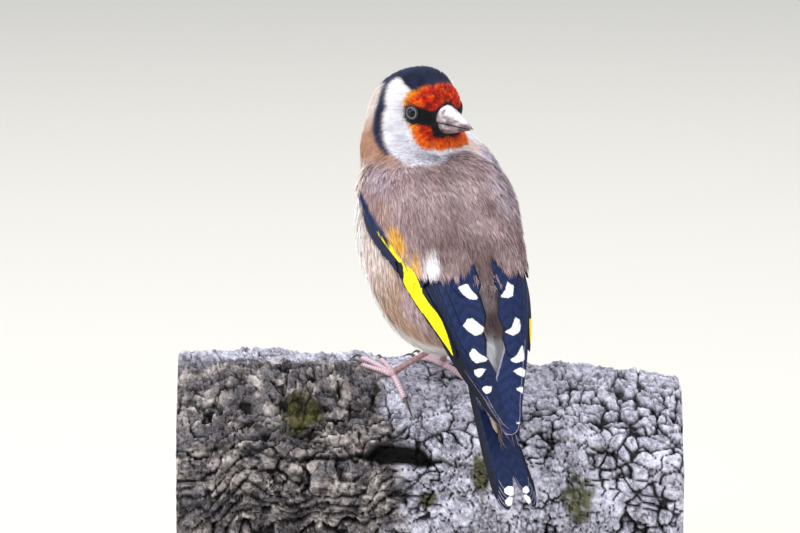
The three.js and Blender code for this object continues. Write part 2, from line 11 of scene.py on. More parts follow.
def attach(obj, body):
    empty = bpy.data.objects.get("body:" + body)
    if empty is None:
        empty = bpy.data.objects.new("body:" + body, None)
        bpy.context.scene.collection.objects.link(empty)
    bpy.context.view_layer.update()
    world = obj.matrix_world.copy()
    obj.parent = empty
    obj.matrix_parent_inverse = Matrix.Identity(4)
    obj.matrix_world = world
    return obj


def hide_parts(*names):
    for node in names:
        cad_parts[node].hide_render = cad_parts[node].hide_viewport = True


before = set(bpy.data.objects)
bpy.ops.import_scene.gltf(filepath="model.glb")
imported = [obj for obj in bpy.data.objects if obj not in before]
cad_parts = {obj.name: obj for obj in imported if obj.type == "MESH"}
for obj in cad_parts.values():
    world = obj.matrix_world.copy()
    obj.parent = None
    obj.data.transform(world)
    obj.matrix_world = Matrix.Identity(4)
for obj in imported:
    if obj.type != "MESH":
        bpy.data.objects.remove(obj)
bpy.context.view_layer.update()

bl_info = {
    "name": "Goldfinch on a Log",
    "version": (1, 0, 0),
    "blender": (4, 5, 0),
    "location": "View3D > Sidebar > Finch",
    "description": "Feathers, bill, eyes, feet and bark for a life-size goldfinch on its display stand",
    "category": "Add Mesh",
}

MM = 0.001  # every form below is worked out in millimetres and written in metres


def linear(hex_text):
    """A colour written as sRGB hex, as linear red, green and blue."""
    parts = [int(hex_text[i:i + 2], 16) / 255 for i in (1, 3, 5)]
    return tuple(c / 12.92 if c <= 0.04045 else ((c + 0.055) / 1.055) ** 2.4 for c in parts)


# Forms that the CAD source gives: frames of the body and the head, and the masses of flesh

class PartFrame:
    """Where a part of the bird stands: along its heading, to its right and up out of its back."""

    def __init__(self, centre, yaw, pitch):
        yaw, pitch = math.radians(yaw), math.radians(pitch)
        self.origin = np.array(centre, float)
        self.along = np.array([-math.sin(yaw) * math.cos(pitch), math.cos(yaw) * math.cos(pitch),
                               math.sin(pitch)])
        self.right = np.array([math.cos(yaw), math.sin(yaw), 0.0])
        self.up = np.cross(self.right, self.along)

    def place(self, a, s, d):
        a, s, d = np.broadcast_arrays(*(np.asarray(v, float) for v in (a, s, d)))
        return (self.origin + a[..., None] * self.along + s[..., None] * self.right
                + d[..., None] * self.up)

    def local(self, points):
        q = points - self.origin
        return q @ self.along, q @ self.right, q @ self.up


BODY = PartFrame((2.6, -10, 101), 27.5, 53)
HEAD = PartFrame((-1.5, 1, 135.4), -143, -6)
MASSES = [  # frame, centre and half sizes, as in the CAD source
    (BODY, (6.3, -0.4, -2.1), (24.4, 17.6, 16.9)),
    (BODY, (-4.8, -0.4, -1.4), (19.6, 17.9, 14.0)),
    (BODY, (2, 0, 6), (24, 14.5, 10.5)),
    (BODY, (-23.0, 0, 5.0), (14.4, 7.7, 5.2)),
    (BODY, (-34.1, 0, -0.1), (16.4, 3.1, 3.4)),
    (BODY, (15.4, 0.4, 5.8), (14.2, 21.0, 7.1)),
    (BODY, (21.7, 0.5, -3.4), (13.0, 12.9, 12.5)),
    (HEAD, (-6.3, 1.1, -10.0), (9.9, 10.9, 11.0)),
    (HEAD, (-2.2, -0.1, 1.2), (7.2, 10.8, 10.1)),
    (HEAD, (3.7, 0, 2.6), (6.2, 7.0, 6.6)),
    (HEAD, (4.4, 0, -1.2), (5.8, 6.2, 5.4)),
    (HEAD, (4.0, 0, -4.4), (6.8, 6.4, 4.8)),
    (HEAD, (2.5, 0, -8.0), (8.8, 9.2, 5.2)),
    (HEAD, (-5.6, 1.6, -1.1), (9.3, 8.6, 9.9)),
    (BODY, (23.4, 9.0, 3.2), (8.9, 10.7, 9.5)),
]
MELT = 3.2  # how widely neighbouring masses blend, mm


def skin_value(points):
    """Distance-like value in mm from the level that the feathers' tips reach, negative inside."""
    value = None
    for part, centre, size in MASSES:
        q = np.stack(part.local(points), -1) - np.array(centre)
        size = np.array(size, float)
        k0 = np.linalg.norm(q / size, axis=-1)
        k1 = np.maximum(np.linalg.norm(q / size / size, axis=-1), 1e-9)
        d = k0 * (k0 - 1) / k1
        if value is None:
            value = d
            continue
        h = np.maximum(MELT - np.abs(value - d), 0) / MELT
        value = np.minimum(value, d) - h * h * MELT / 4
    return value


WING_STATIONS = np.array([  # along; lower edge, bulge and inner edge, each as side and height
    [22, 15.0, 2.0, 18.0, 8.0, 12.5, 14.0],
    [10, 18.0, 2.5, 20.0, 15.0, 9.0, 19.0],
    [-4, 15.9, 5.5, 17.4, 16.8, 5.3, 19.0],
    [-18, 14.6, 7.6, 15.4, 16.0, 2.8, 17.2],
    [-32, 11.0, 7.6, 11.0, 12.6, 1.4, 12.0],
    [-44, 5.9, 7.4, 5.2, 10.2, 0.6, 9.6],
    [-58, 0.6, 7.4, 0.4, 8.4, -0.4, 8.2],
])


def keyed(rows, x):
    """Values at x of smooth curves through rows of [x, value, value, ...]."""
    rows = rows[np.argsort(rows[:, 0])]
    xs, ys = rows[:, 0], rows[:, 1:]
    t = np.clip(x, xs[0], xs[-1])
    i = np.clip(np.searchsorted(xs, t, side="right") - 1, 0, len(xs) - 2)
    h = (xs[i + 1] - xs[i])[..., None]
    u = (t - xs[i])[..., None] / h
    rise = np.empty_like(ys)
    rise[1:-1] = (ys[2:] - ys[:-2]) / (xs[2:] - xs[:-2])[:, None]
    rise[0] = (ys[1] - ys[0]) / (xs[1] - xs[0])
    rise[-1] = (ys[-1] - ys[-2]) / (xs[-1] - xs[-2])
    u2, u3 = u * u, u * u * u
    return ((2 * u3 - 3 * u2 + 1) * ys[i] + (u3 - 2 * u2 + u) * h * rise[i]
            + (3 * u2 - 2 * u3) * ys[i + 1] + (u3 - u2) * h * rise[i + 1])


def wing_section(a, w):
    """Side and height of the folded wing's surface; w runs from its lower to its inner edge."""
    k = keyed(WING_STATIONS, a)

    def blend(p, q, r):
        return (1 - w) ** 2 * p + 2 * w * (1 - w) * q + w * w * r

    return blend(k[..., 0], k[..., 2], k[..., 4]), blend(k[..., 1], k[..., 3], k[..., 5])


def wing_width(a):
    """About how wide the wing's surface is, measured round it, mm."""
    k = keyed(WING_STATIONS, a)
    legs = [np.hypot(k[..., i] - k[..., j], k[..., i + 1] - k[..., j + 1])
            for i, j in ((4, 0), (2, 0), (4, 2))]
    return sum(legs) / 2


def wing_point(side, a, w, lift):
    """A place on the folded wing of a side, lifted off its surface by lift mm."""
    a, w, lift = np.broadcast_arrays(*(np.asarray(v, float) for v in (a, w, lift)))
    s, d = wing_section(a, w)
    step = 0.02
    s_up, d_up = wing_section(a, w + step)
    s_back, d_back = wing_section(a - 1, w)
    across = np.stack([np.zeros_like(s), s_up - s, d_up - d], -1)
    along = np.stack([-np.ones_like(s), s_back - s, d_back - d], -1)
    n = np.cross(along, across)
    n /= np.linalg.norm(n, axis=-1, keepdims=True) + 1e-12
    n *= np.where(n[..., 1] * s + n[..., 2] * d < 0, -1, 1)[..., None]
    return BODY.place(a + n[..., 0] * lift, side * (s + n[..., 1] * lift), d + n[..., 2] * lift)


def smoothstep(low, high, x):
    """0 at low and before, 1 at high and beyond, smooth between; low may be the greater."""
    t = np.clip((x - low) / (high - low), 0, 1)
    return t * t * (3 - 2 * t)


# Where the mantle's and the scapulars' feathers end on the wing, as w against distance along
MANTLE_EDGE_W = [0, 0.1, 0.15, 0.18, 0.22, 0.28, 0.33, 0.38, 0.45, 0.62, 0.75, 0.86, 0.95, 1]
MANTLE_EDGE_A = [18.5, 16.5, 12, 5, 2, -1, -7, -11.5, -12.8, -13.8, -14.5, -14.8, -13, -12]
TABLE_A = np.arange(-60.0, 26.0, 1.0)
TABLE_TURN = np.radians(np.arange(0.0, 111.0, 1.0))


def wing_tables():
    """The wing's w and distance from the body's axis, by distance along and turn from the back."""
    w = np.linspace(0, 1, 60)
    ws, rs, lows, highs = [], [], [], []
    for a in TABLE_A:
        s, d = wing_section(np.full_like(w, a), w)
        turn, radius = np.arctan2(s, d), np.hypot(s, d)
        order = np.argsort(turn)
        ws.append(np.interp(TABLE_TURN, turn[order], w[order]))
        rs.append(np.interp(TABLE_TURN, turn[order], radius[order]))
        lows.append(turn.min())
        highs.append(turn.max())
    return np.array(ws), np.array(rs), np.array(lows), np.array(highs)


WING_W, WING_R, WING_LOW, WING_HIGH = wing_tables()


def table_at(table, a, turn):
    """A value between the rows and columns of one of the wing's tables."""
    i = np.clip(a - TABLE_A[0], 0, len(TABLE_A) - 1.001)
    j = np.clip(turn / (TABLE_TURN[1] - TABLE_TURN[0]), 0, len(TABLE_TURN) - 1.001)
    i0, j0 = i.astype(int), j.astype(int)
    u, v = i - i0, j - j0
    return ((1 - u) * (1 - v) * table[i0, j0] + u * (1 - v) * table[i0 + 1, j0]
            + (1 - u) * v * table[i0, j0 + 1] + u * v * table[i0 + 1, j0 + 1])


def under_wing(points):
    """For points near the bird: the wing's w, arc past its edges (mm, negative between them),
    distance past the mantle's edge on the wing (mm, positive under the mantle), wing height."""
    a, s, d = BODY.local(points)
    turn, radius = np.arctan2(np.abs(s), d), np.hypot(s, d)
    w = table_at(WING_W, a, turn)
    r = table_at(WING_R, a, turn)
    low = np.interp(a, TABLE_A, WING_LOW)
    high = np.interp(a, TABLE_A, WING_HIGH)
    past = np.maximum(low - turn, turn - high) * r
    inside_mantle = a - np.interp(w, MANTLE_EDGE_W, MANTLE_EDGE_A)
    return w, past, inside_mantle, radius - r


COAT_DEPTH = 1.2  # how far the skin lies under the feathers' tips, mm
HEAD_THINNING = 0.45  # share of that depth which the head lacks
MANTLE_TUCK = 5.0  # the mantle's skin ends this far short of where its feathers end, mm
BARE_SINK = 1.3  # how far under the bare wing the skin lies, mm
SHEET_MELT = 2.0  # how widely flesh and mantle blend, mm
FAR_DOWN = 30.0  # mm, deeper than any skin


def from_head(points):
    """Distance from the head's middle, mm."""
    return np.linalg.norm(points - HEAD.place(-1, 0, -2), axis=-1)


def near_face(points):
    """1 on the head, falling to 0 on the neck."""
    return smoothstep(19, 12.5, from_head(points))


def coat_value(points):
    """Like skin_value at the skin's own level, with the mantle drawn up over the wings' bases and
    the skin sunk under the bare wing."""
    base = skin_value(points) + COAT_DEPTH * (1 - HEAD_THINNING * near_face(points))
    w, past, inside_mantle, height = under_wing(points)
    a = BODY.local(points)[0]
    bare = smoothstep(-1.6, 0.6, -past) * smoothstep(MANTLE_TUCK, MANTLE_TUCK - 2, inside_mantle)
    base = np.maximum(base, height + BARE_SINK - FAR_DOWN * (1 - bare))
    # The mantle's sheet lies on the wing and dives past the wing's edges and its own
    drop = 0.45 * np.maximum(MANTLE_TUCK - inside_mantle, 0)
    drop += np.where(w < 0.5, 1.3, 0.3) * np.maximum(past, 0) + 0.5 * np.maximum(a - 17, 0)
    sheet = height + drop
    h = np.maximum(SHEET_MELT - np.abs(base - sheet), 0) / SHEET_MELT
    return np.minimum(base, sheet) - h * h * SHEET_MELT / 4


def slope(field, points):
    """The field's value and gradient."""
    step = 0.2
    value = field(points)
    return value, np.stack([(field(points + way) - value) / step for way in np.eye(3) * step], -1)


def drawn(field, points, level, most):
    """The points moved one step, of most mm at a slope of 1, to where the field has the level."""
    value, g = slope(field, points)
    off = (value - level) / np.maximum((g * g).sum(-1), 0.05)
    return points - g * np.clip(off, -most, most)[:, None]


def unit(v):
    return v / np.maximum(np.linalg.norm(v, axis=-1, keepdims=True), 1e-9)


# Noise for markings and bark, seeded and the same on every run

def lattice(cells, seed):
    """A number from 0 to 1 for each cell, the same on every run."""
    cells = cells.astype(np.int64)
    n = (cells[..., 0] * 374761393 + cells[..., 1] * 668265263 + cells[..., 2] * 2147483647
         + seed * 974634777)
    n = (n ^ (n >> 13)) * 1274126177
    return ((n ^ (n >> 16)) & 0xFFFFFF) / float(0xFFFFFF)


def soft_noise(points, size, seed=0):
    """Smooth noise from -1 to 1 with features of about size."""
    p = points / size
    base = np.floor(p)
    f = p - base
    f = f * f * (3 - 2 * f)
    total = 0
    for i in (0, 1):
        for j in (0, 1):
            for k in (0, 1):
                weight = (np.where(i, f[..., 0], 1 - f[..., 0]) * np.where(j, f[..., 1], 1 - f[..., 1])
                          * np.where(k, f[..., 2], 1 - f[..., 2]))
                total = total + weight * lattice(base + np.array([i, j, k]), seed)
    return total * 2 - 1


def cell_edges(points, seed=0):
    """Distances to the nearest and second nearest seed of scattered cells of size 1, and an id."""
    base = np.floor(points)
    first = np.full(len(points), 9.0)
    second = np.full(len(points), 9.0)
    ident = np.zeros(len(points))
    for i in (-1, 0, 1):
        for j in (-1, 0, 1):
            for k in (-1, 0, 1):
                cell = base + np.array([i, j, k])
                seedpoint = cell + np.stack([lattice(cell, seed + n) for n in (1, 2, 3)], -1)
                d = np.linalg.norm(points - seedpoint, axis=-1)
                nearer = d < first
                second = np.where(nearer, first, np.minimum(second, d))
                ident = np.where(nearer, lattice(cell, seed + 4), ident)
                first = np.where(nearer, d, first)
    return first, second, ident


# Plumage markings, shared by the skin and the tufts

PALETTE = {name: np.array(linear(text)) for name, text in {
    "mantle": "#a2868a", "mantle_dark": "#6b534f", "mantle_pale": "#c4adae", "lilac": "#cdc2d0",
    "nape": "#b3886f", "nape_pale": "#e6d8d3", "flank": "#b59684", "flank_pale": "#e9dad4",
    "belly": "#f4f1ee", "white": "#f0eff6", "black": "#0a0c12", "crown": "#1a2b57",
    "red": "#d42405", "red_deep": "#6a0d02", "orange": "#f2640c", "amber": "#f3a012",
    "rump": "#f8f8fb", "coverts": "#b7a494", "fringe": "#f0b410", "strip": "#c4b2b4",
    "peach": "#f3e0d8",
}.items()}


def mix(a, b, t):
    """Colour a turned into b by shares t, from 0 to 1."""
    return a + (b - a) * np.clip(t, 0, 1)[..., None]


VIEW_RISE = math.radians(10)  # the bird is drawn as seen from this far above the level
TOWARDS = np.array([0, -math.cos(VIEW_RISE), math.sin(VIEW_RISE)])
VIEW_UP = np.array([0, math.sin(VIEW_RISE), math.cos(VIEW_RISE)])
VIEW_RIGHT = np.array([1.0, 0.0, 0.0])


def seen(part, a, s, d):
    """Where a place of a frame is seen, in mm right of and above the frame's centre."""
    return tuple(a * (part.along @ way) + s * (part.right @ way) + d * (part.up @ way)
                 for way in (VIEW_RIGHT, VIEW_UP))


def seen_depth(part, a, s, d):
    """How far nearer the viewer than the frame's centre a place of a frame is, mm."""
    return a * (part.along @ TOWARDS) + s * (part.right @ TOWARDS) + d * (part.up @ TOWARDS)


BILL_FRONT = np.array([9.0, 0.0, 0.5])  # middle of the bill's root on the face
HEAD_MIDDLE = (-1, 0, -1)
HEAD_REACH = 12.2  # mm from the head's middle to its outline
HIDDEN_FROM = 3.0  # mm behind the head's middle where its far side begins


def head_view(f, s, u):
    """As seen(), with both sides of the head drawn alike, and what lies behind its outline
    folded out past it."""
    side = np.abs(s)
    x, y = seen(HEAD, f, side, u)
    middle = seen(HEAD, *HEAD_MIDDLE)
    reach = np.maximum(np.hypot(x - middle[0], y - middle[1]), 0.5)
    near = seen_depth(HEAD, f - HEAD_MIDDLE[0], side, u - HEAD_MIDDLE[2])
    fold = np.where(near < -HIDDEN_FROM, np.maximum(2 * HEAD_REACH / reach - 1, 1), 1)
    return middle[0] + (x - middle[0]) * fold, middle[1] + (y - middle[1]) * fold


class Marking:
    """An area of colour, outlined in mm as it is seen; outlines are measured from the head's or
    the body's centre."""
    STEP = 0.15
    MARGIN = 4.0

    def __init__(self, outline):
        corners = np.array(outline, float)
        self.low = corners.min(0) - self.MARGIN
        count = np.ceil((corners.max(0) + self.MARGIN - self.low) / self.STEP).astype(int) + 1
        x, y = np.meshgrid(*(self.low[i] + self.STEP * np.arange(count[i]) for i in (0, 1)), indexing="ij")
        nearest = np.full(x.shape, np.inf)
        inside = np.zeros(x.shape, bool)
        for (x0, y0), (x1, y1) in zip(corners, np.roll(corners, -1, 0)):
            run, rise = x1 - x0, y1 - y0
            t = np.clip(((x - x0) * run + (y - y0) * rise) / (run * run + rise * rise), 0, 1)
            nearest = np.minimum(nearest, np.hypot(x - x0 - t * run, y - y0 - t * rise))
            inside ^= ((y0 > y) != (y1 > y)) & (x < x0 + (y - y0) * run / (rise or 1.0))
        self.table = np.where(inside, nearest, -nearest)

    def depth(self, x, y):
        """How far inside the outline a place is, in mm, and negative outside it."""
        i = np.clip((x - self.low[0]) / self.STEP, 0, self.table.shape[0] - 1.001)
        j = np.clip((y - self.low[1]) / self.STEP, 0, self.table.shape[1] - 1.001)
        i0, j0 = i.astype(int), j.astype(int)
        p, q = i - i0, j - j0
        return ((1 - p) * (1 - q) * self.table[i0, j0] + p * (1 - q) * self.table[i0 + 1, j0]
                + (1 - p) * q * self.table[i0, j0 + 1] + p * q * self.table[i0 + 1, j0 + 1])


CHEEK = Marking([
    (-6.5, 8.7), (-5.6, 8.3), (-4.8, 7.3), (-4.1, 6.4), (-2.9, 5.6), (1.5, 5.6), (5.2, 3.2), (11.3, 0.8),
    (13.2, -3.6), (11.3, -8.0), (9.8, -9.0), (8.1, -10.0), (6.6, -11.0), (4.9, -11.9), (3.0, -12.7),
    (0.8, -12.9), (-1.2, -13.0), (-2.9, -13.3), (-4.6, -12.7), (-5.8, -11.7), (-7.3, -10.7),
    (-8.4, -9.9), (-9.1, -8.8), (-9.8, -7.3), (-10.1, -5.8), (-10.3, -4.1), (-10.2, -1.7),
    (-9.9, 0.0), (-9.3, 1.2), (-9.4, 3.2), (-9.3, 5.1), (-8.8, 6.9), (-8.0, 7.8)])
BAND = Marking([
    (-6.5, 8.7), (-8.0, 7.8), (-8.8, 6.9), (-9.3, 5.1), (-9.4, 3.2), (-9.3, 1.2), (-9.9, 0.0),
    (-10.2, -1.7), (-10.3, -4.1), (-10.1, -5.8), (-9.8, -7.3), (-9.1, -8.8), (-8.1, -10.2),
    (-9.2, -10.3), (-10.6, -8.9), (-11.7, -7.4), (-12.4, -5.6), (-12.6, -3.6), (-12.3, -0.5),
    (-11.4, 2.5), (-10.9, 4.4), (-10.3, 6.1), (-9.8, 7.2), (-12.5, 10.0), (-10.7, 13.0), (-5.8, 10.5)])
CROWN = Marking([
    (-12.6, 9.2), (-9.8, 7.4), (-7.8, 8.1), (-6.5, 8.7), (-5.6, 8.3), (-4.8, 7.3), (-4.1, 6.4),
    (-2.9, 5.6), (-1.7, 5.6), (-0.7, 6.1), (0.5, 6.7), (2.2, 6.6), (3.5, 7.3), (4.2, 8.1), (6.4, 9.5),
    (8.8, 13.0), (7.6, 22.7), (-7.0, 23.9), (-19.2, 16.6)])
MASK = Marking([
    (-5.1, 0.8), (-5.2, 1.7), (-4.8, 3.2), (-4.1, 4.7), (-2.9, 5.6), (-1.7, 7.1), (1.5, 10.5),
    (6.4, 11.5), (11.3, 10.5), (13.7, 0.8), (12.5, -6.6), (9.3, -8.0), (7.1, -8.5), (5.4, -9.0),
    (4.0, -9.3), (2.5, -9.0), (0.5, -9.0), (-0.7, -8.5), (-1.7, -7.5), (-2.6, -6.3), (-2.9, -4.9),
    (-3.4, -3.9), (-3.9, -2.9), (-3.6, -1.2)])
LORE = Marking([
    (-5.1, 0.8), (-4.6, 1.6), (-3.9, 1.9), (-2.9, 1.8), (-1.7, 1.5), (-0.2, 1.1), (1.0, 0.6),
    (2.0, 0.4), (3.0, 0.8), (4.0, 1.6), (4.7, 2.5), (5.4, 3.0), (6.6, 2.7), (8.8, 3.2), (12.5, 2.0),
    (13.2, -2.9), (9.6, -4.6), (8.1, -5.0), (6.6, -5.7), (5.4, -6.1), (4.0, -6.3), (2.7, -6.1),
    (2.2, -5.6), (1.8, -4.4), (1.3, -3.5), (-0.2, -3.1), (-1.9, -3.0), (-3.6, -2.8), (-4.6, -1.6),
    (-5.0, -0.2)])
# Soft patches of the back as seen: centre, half sizes, how far they lean to the right going up,
# the colour and its share
BACK_PATCHES = [
    ((15.5, 17.0), (3.2, 8.0), -0.25, "lilac", 0.45), ((-15.0, 19.5), (3.0, 4.5), 0.0, "lilac", 0.4),
    ((-3.0, 8.0), (8.0, 5.5), 0.0, "mantle_dark", 0.3),
    ((6.0, 1.0), (13.0, 5.5), 0.0, "mantle_dark", 0.6),
    ((0.0, 20.5), (9.0, 2.0), 0.0, "mantle_dark", 0.35), ((-14.5, 11.0), (2.6, 4.5), -0.3, "nape", 0.35),
    ((-10.6, 4.0), (1.9, 3.6), -0.35, "fringe", 0.8), ((-6.0, -2.2), (1.2, 3.8), -0.1, "fringe", 0.55),
    ((-2.6, 0.2), (1.7, 2.2), 0.2, "nape_pale", 0.6), ((-2.2, -2.4), (1.9, 3.2), 0.15, "white", 1.0),
]


# The mantle in front of the throat, and its two pale patches
SHOULDER = Marking([(1.5, 24.6), (2.5, 25.4), (4.2, 26.0), (6.2, 26.8), (8.2, 26.4), (10.6, 25.0),
                    (12.0, 23.0), (7.2, 20.7), (2.3, 21.9)])
SHOULDER_PATCHES = [((8.4, 27.6), (2.4, 2.2), -0.9, "peach", 1.0),
                    ((12.3, 25.2), (1.7, 3.0), -0.8, "lilac", 1.0)]
# Small navy coverts at the wing's bend, seen on the left
BEND = Marking([(-19.5, 16.6), (-18.7, 15.6), (-18.0, 13.4), (-17.2, 11.7), (-16.2, 10.2), (-15.0, 8.3),
                (-13.8, 6.3), (-12.8, 4.9), (-11.4, 2.4), (-13.4, 0.0), (-15.0, 2.7), (-16.3, 4.9),
                (-17.2, 7.3), (-18.1, 9.2), (-18.7, 11.0), (-19.4, 13.4), (-20.2, 15.1)])
# Where brown gives way to the white and tan flank, as seen on the left from the body's centre
FLANK_EDGE_Y = [-6.1, 0.0, 4.9, 8.5, 12.2, 14.6, 16.3, 18.3, 20.7, 23.1]
FLANK_EDGE_X = [-9.4, -12.8, -16.0, -18.2, -19.4, -19.5, -19.3, -18.8, -18.4, -18.2]


BELLY_A = [-34, -25, -10, 4, 12, 22]  # along the body
BELLY_TURN = [88, 98, 107, 104, 97, 94]  # degrees round from the back where the belly begins
STRIP_AT, STRIP_HALF = 11.3, 2.6  # the brown strip between the wings, mm as seen
FRAY = 0.35  # mm by which the edges of markings fray
FAR_SIDE = -9.0  # mm from the head's centre to where its hidden side begins


def patch_distance(x, y, centre, size, lean):
    """Distance from the middle of a leaning oval, 1 at its rim."""
    rise = y - centre[1]
    return np.hypot((x - centre[0] - lean * rise) / size[0], rise / size[1])


def body_plumage(points, wobble):
    """Brown back, tan flanks, white belly and rump, navy bend of the wing; and the back's brown."""
    a, s, d = BODY.local(points)
    rough = wobble * FRAY
    turn = np.degrees(np.arctan2(np.abs(s), d))
    patchy = soft_noise(points, 6.0, 3) * 6
    back = mix(PALETTE["mantle"], PALETTE["mantle_pale"], 0.45 + 0.55 * soft_noise(points, 5.0, 5))
    back = mix(back, PALETTE["mantle_dark"], 0.35 * smoothstep(0.1, 0.7, soft_noise(points, 3.0, 6)))
    flank = mix(PALETTE["flank_pale"], PALETTE["flank"], smoothstep(4, -12, a + 0.3 * patchy))
    left_x, left_y = seen(BODY, a, -np.abs(s), d)
    over_edge = np.interp(left_y, FLANK_EDGE_Y, FLANK_EDGE_X) - left_x + rough
    outer = np.maximum(smoothstep(80, 88, turn), smoothstep(-0.3, 0.4, over_edge) * (d < 11))
    colour = mix(back, flank, outer)
    belly_from = np.interp(a, BELLY_A, BELLY_TURN)
    colour = mix(colour, PALETTE["belly"], smoothstep(-5, 5, turn + patchy * 0.5 - belly_from))
    x, y = seen(BODY, a, s, d)
    for centre, size, lean, name, share in BACK_PATCHES:
        off = patch_distance(x, y, centre, size, lean)
        patch = share * smoothstep(1.25, 0.6, off + 0.25 * wobble) * (turn < 100) * (d > 0)
        colour = mix(colour, PALETTE[name], patch)
    rump = smoothstep(-25.5, -27.5, a + 1.2 * wobble) * smoothstep(75, 55, turn)
    colour = mix(colour, PALETTE["rump"], rump)
    strip = smoothstep(0.5, -0.5, np.abs(x - STRIP_AT) - STRIP_HALF + rough) * (turn < 75)
    colour = mix(colour, PALETTE["strip"], strip * smoothstep(-14, -12, y) * (y < -6))
    tips = np.where((s > -1.0)[..., None], PALETTE["coverts"], PALETTE["crown"])
    colour = mix(colour, tips, smoothstep(-37, -42, a + 1.5 * wobble) * smoothstep(110, 85, turn))
    colour = mix(colour, PALETTE["belly"], smoothstep(-22, -30, a) * smoothstep(95, 115, turn))
    bend = smoothstep(-0.3, 0.3, BEND.depth(left_x, left_y) + rough) * (turn < 100)
    return mix(colour, PALETTE["crown"], bend), back


def red_mask(points, x, y, wobble):
    """Amber at the mask's rim, then orange, then red with dark and amber flecks."""
    inside = MASK.depth(x, y) + 0.5 * wobble
    red = mix(PALETTE["amber"], PALETTE["orange"], smoothstep(0.3, 1.5, inside + smoothstep(-3, -7, y)))
    red = mix(red, PALETTE["red"], smoothstep(1.2, 3.2, inside))
    red = mix(red, PALETTE["orange"], 0.8 * smoothstep(4.8, 6.5, x) * smoothstep(1, 3, y))
    fleck = soft_noise(points, 0.75, 8)
    red = mix(red, PALETTE["red_deep"], smoothstep(0.05, 0.6, fleck) * smoothstep(0.8, 2.6, inside) * 0.75)
    return mix(red, PALETTE["amber"], smoothstep(0.25, 0.7, -fleck) * 0.35)


def plumage(points, wobble):
    """The feathers' colour at points near the skin. wobble, about -1 to 1, frays the edges."""
    colour, back = body_plumage(points, wobble)
    f, s, u = HEAD.local(points)
    rough = wobble * FRAY
    x, y = head_view(f, s, u)
    near_head = smoothstep(25, 21, np.linalg.norm(points - HEAD.place(0, 0, -4), axis=-1))

    def soft(area, edge):
        return smoothstep(-edge, edge, area.depth(x, y) + rough) * near_head

    # Nape: tan beside the dark band, almost white high up; then the white cheek and throat, with lilac
    # streaks of painted shade
    nape = mix(PALETTE["nape"], PALETTE["nape_pale"], smoothstep(-5.5, 1.0, y + 1.5 * wobble))
    beside = smoothstep(-15.5, -10, y + 0.8 * wobble) * smoothstep(-3, -8, x)
    colour = mix(colour, nape, near_head * beside)
    cheek = soft(CHEEK, 0.35)
    colour = mix(colour, PALETTE["white"], cheek)
    # Painted shade: lilac-grey streaks on the white cheek and throat
    cheek_shade_streak = smoothstep(0.1, 0.6, soft_noise(points * np.array([1, 1, 2.5]), 2.4, 12))
    colour = mix(colour, PALETTE["lilac"], cheek * 0.3 * cheek_shade_streak)
    # The shoulder in front of the throat
    a, sb, d = BODY.local(points)
    seen_x, seen_y = seen(BODY, a, sb, d)
    shown = (seen_depth(HEAD, f, s, u) > FAR_SIDE) & (d > -4)
    over = smoothstep(-0.4, 0.4, SHOULDER.depth(seen_x, seen_y) + rough)
    colour = mix(colour, back, over * shown)
    for centre, size, lean, name, share in SHOULDER_PATCHES:
        off = patch_distance(seen_x, seen_y, centre, size, lean)
        colour = mix(colour, PALETTE[name], share * smoothstep(1.3, 0.5, off) * shown)
    # The face
    colour = mix(colour, red_mask(points, x, y, wobble), soft(MASK, 0.25))
    # The crown is black; patches of blue mixed in by noise are a painted sheen
    dark = mix(PALETTE["crown"], PALETTE["black"], 0.5 + 0.5 * soft_noise(points, 2.0, 13))
    colour = mix(colour, dark, np.maximum(soft(BAND, 0.3), soft(CROWN, 0.3)))
    return mix(colour, PALETTE["black"], soft(LORE, 0.2))


# Meshes

class Heap:
    """Many small meshes joined into one piece, with colours, UVs and other numbers a point."""

    def __init__(self):
        self.points, self.faces, self.numbers, self.count = [], [], {}, 0

    def add(self, points, *faces, **numbers):
        """Adds points, arrays of faces with as many corners each, and numbers by name."""
        self.points.append(points)
        self.faces += [some + self.count for some in faces]
        for key, values in numbers.items():
            self.numbers.setdefault(key, []).append(values)
        self.count += len(points)

    def piece(self, name, material, smooth=True):
        points = np.concatenate(self.points) * MM
        loops = np.concatenate([f.ravel() for f in self.faces])
        sizes = np.concatenate([np.full(len(f), f.shape[1]) for f in self.faces])
        mesh = bpy.data.meshes.new(name)
        mesh.vertices.add(len(points))
        mesh.vertices.foreach_set("co", points.astype(np.float32).ravel())
        mesh.loops.add(len(loops))
        mesh.loops.foreach_set("vertex_index", loops.astype(np.int32))
        mesh.polygons.add(len(sizes))
        starts = np.concatenate([[0], np.cumsum(sizes)[:-1]])
        mesh.polygons.foreach_set("loop_start", starts.astype(np.int32))
        mesh.polygons.foreach_set("use_smooth", np.full(len(sizes), smooth))
        mesh.update(calc_edges=True)
        for key, values in self.numbers.items():
            values = np.concatenate(values)
            if key.startswith("uv_"):
                layer = mesh.uv_layers.new(name=key[3:])
                layer.data.foreach_set("uv", values[loops].astype(np.float32).ravel())
                continue
            layer = mesh.color_attributes.new(name=key, type="FLOAT_COLOR", domain="POINT")
            rgba = np.ones((len(values), 4), np.float32)
            rgba[:, :values.shape[1]] = values
            layer.data.foreach_set("color", rgba.ravel())
        mesh.validate()
        mesh.materials.append(material)
        piece = bpy.data.objects.new(name, mesh)
        bpy.context.scene.collection.objects.link(piece)
        return piece


def tube_faces(rows, columns):
    """Quads of a grid of points, rows by columns, with the last column joined to the first."""
    r, c = np.meshgrid(np.arange(rows - 1), np.arange(columns), indexing="ij")
    r, c = r.ravel(), c.ravel()
    k = (c + 1) % columns
    return np.stack([r * columns + c, r * columns + k, (r + 1) * columns + k, (r + 1) * columns + c], -1)


WELD = 2e-6  # m between points that are one


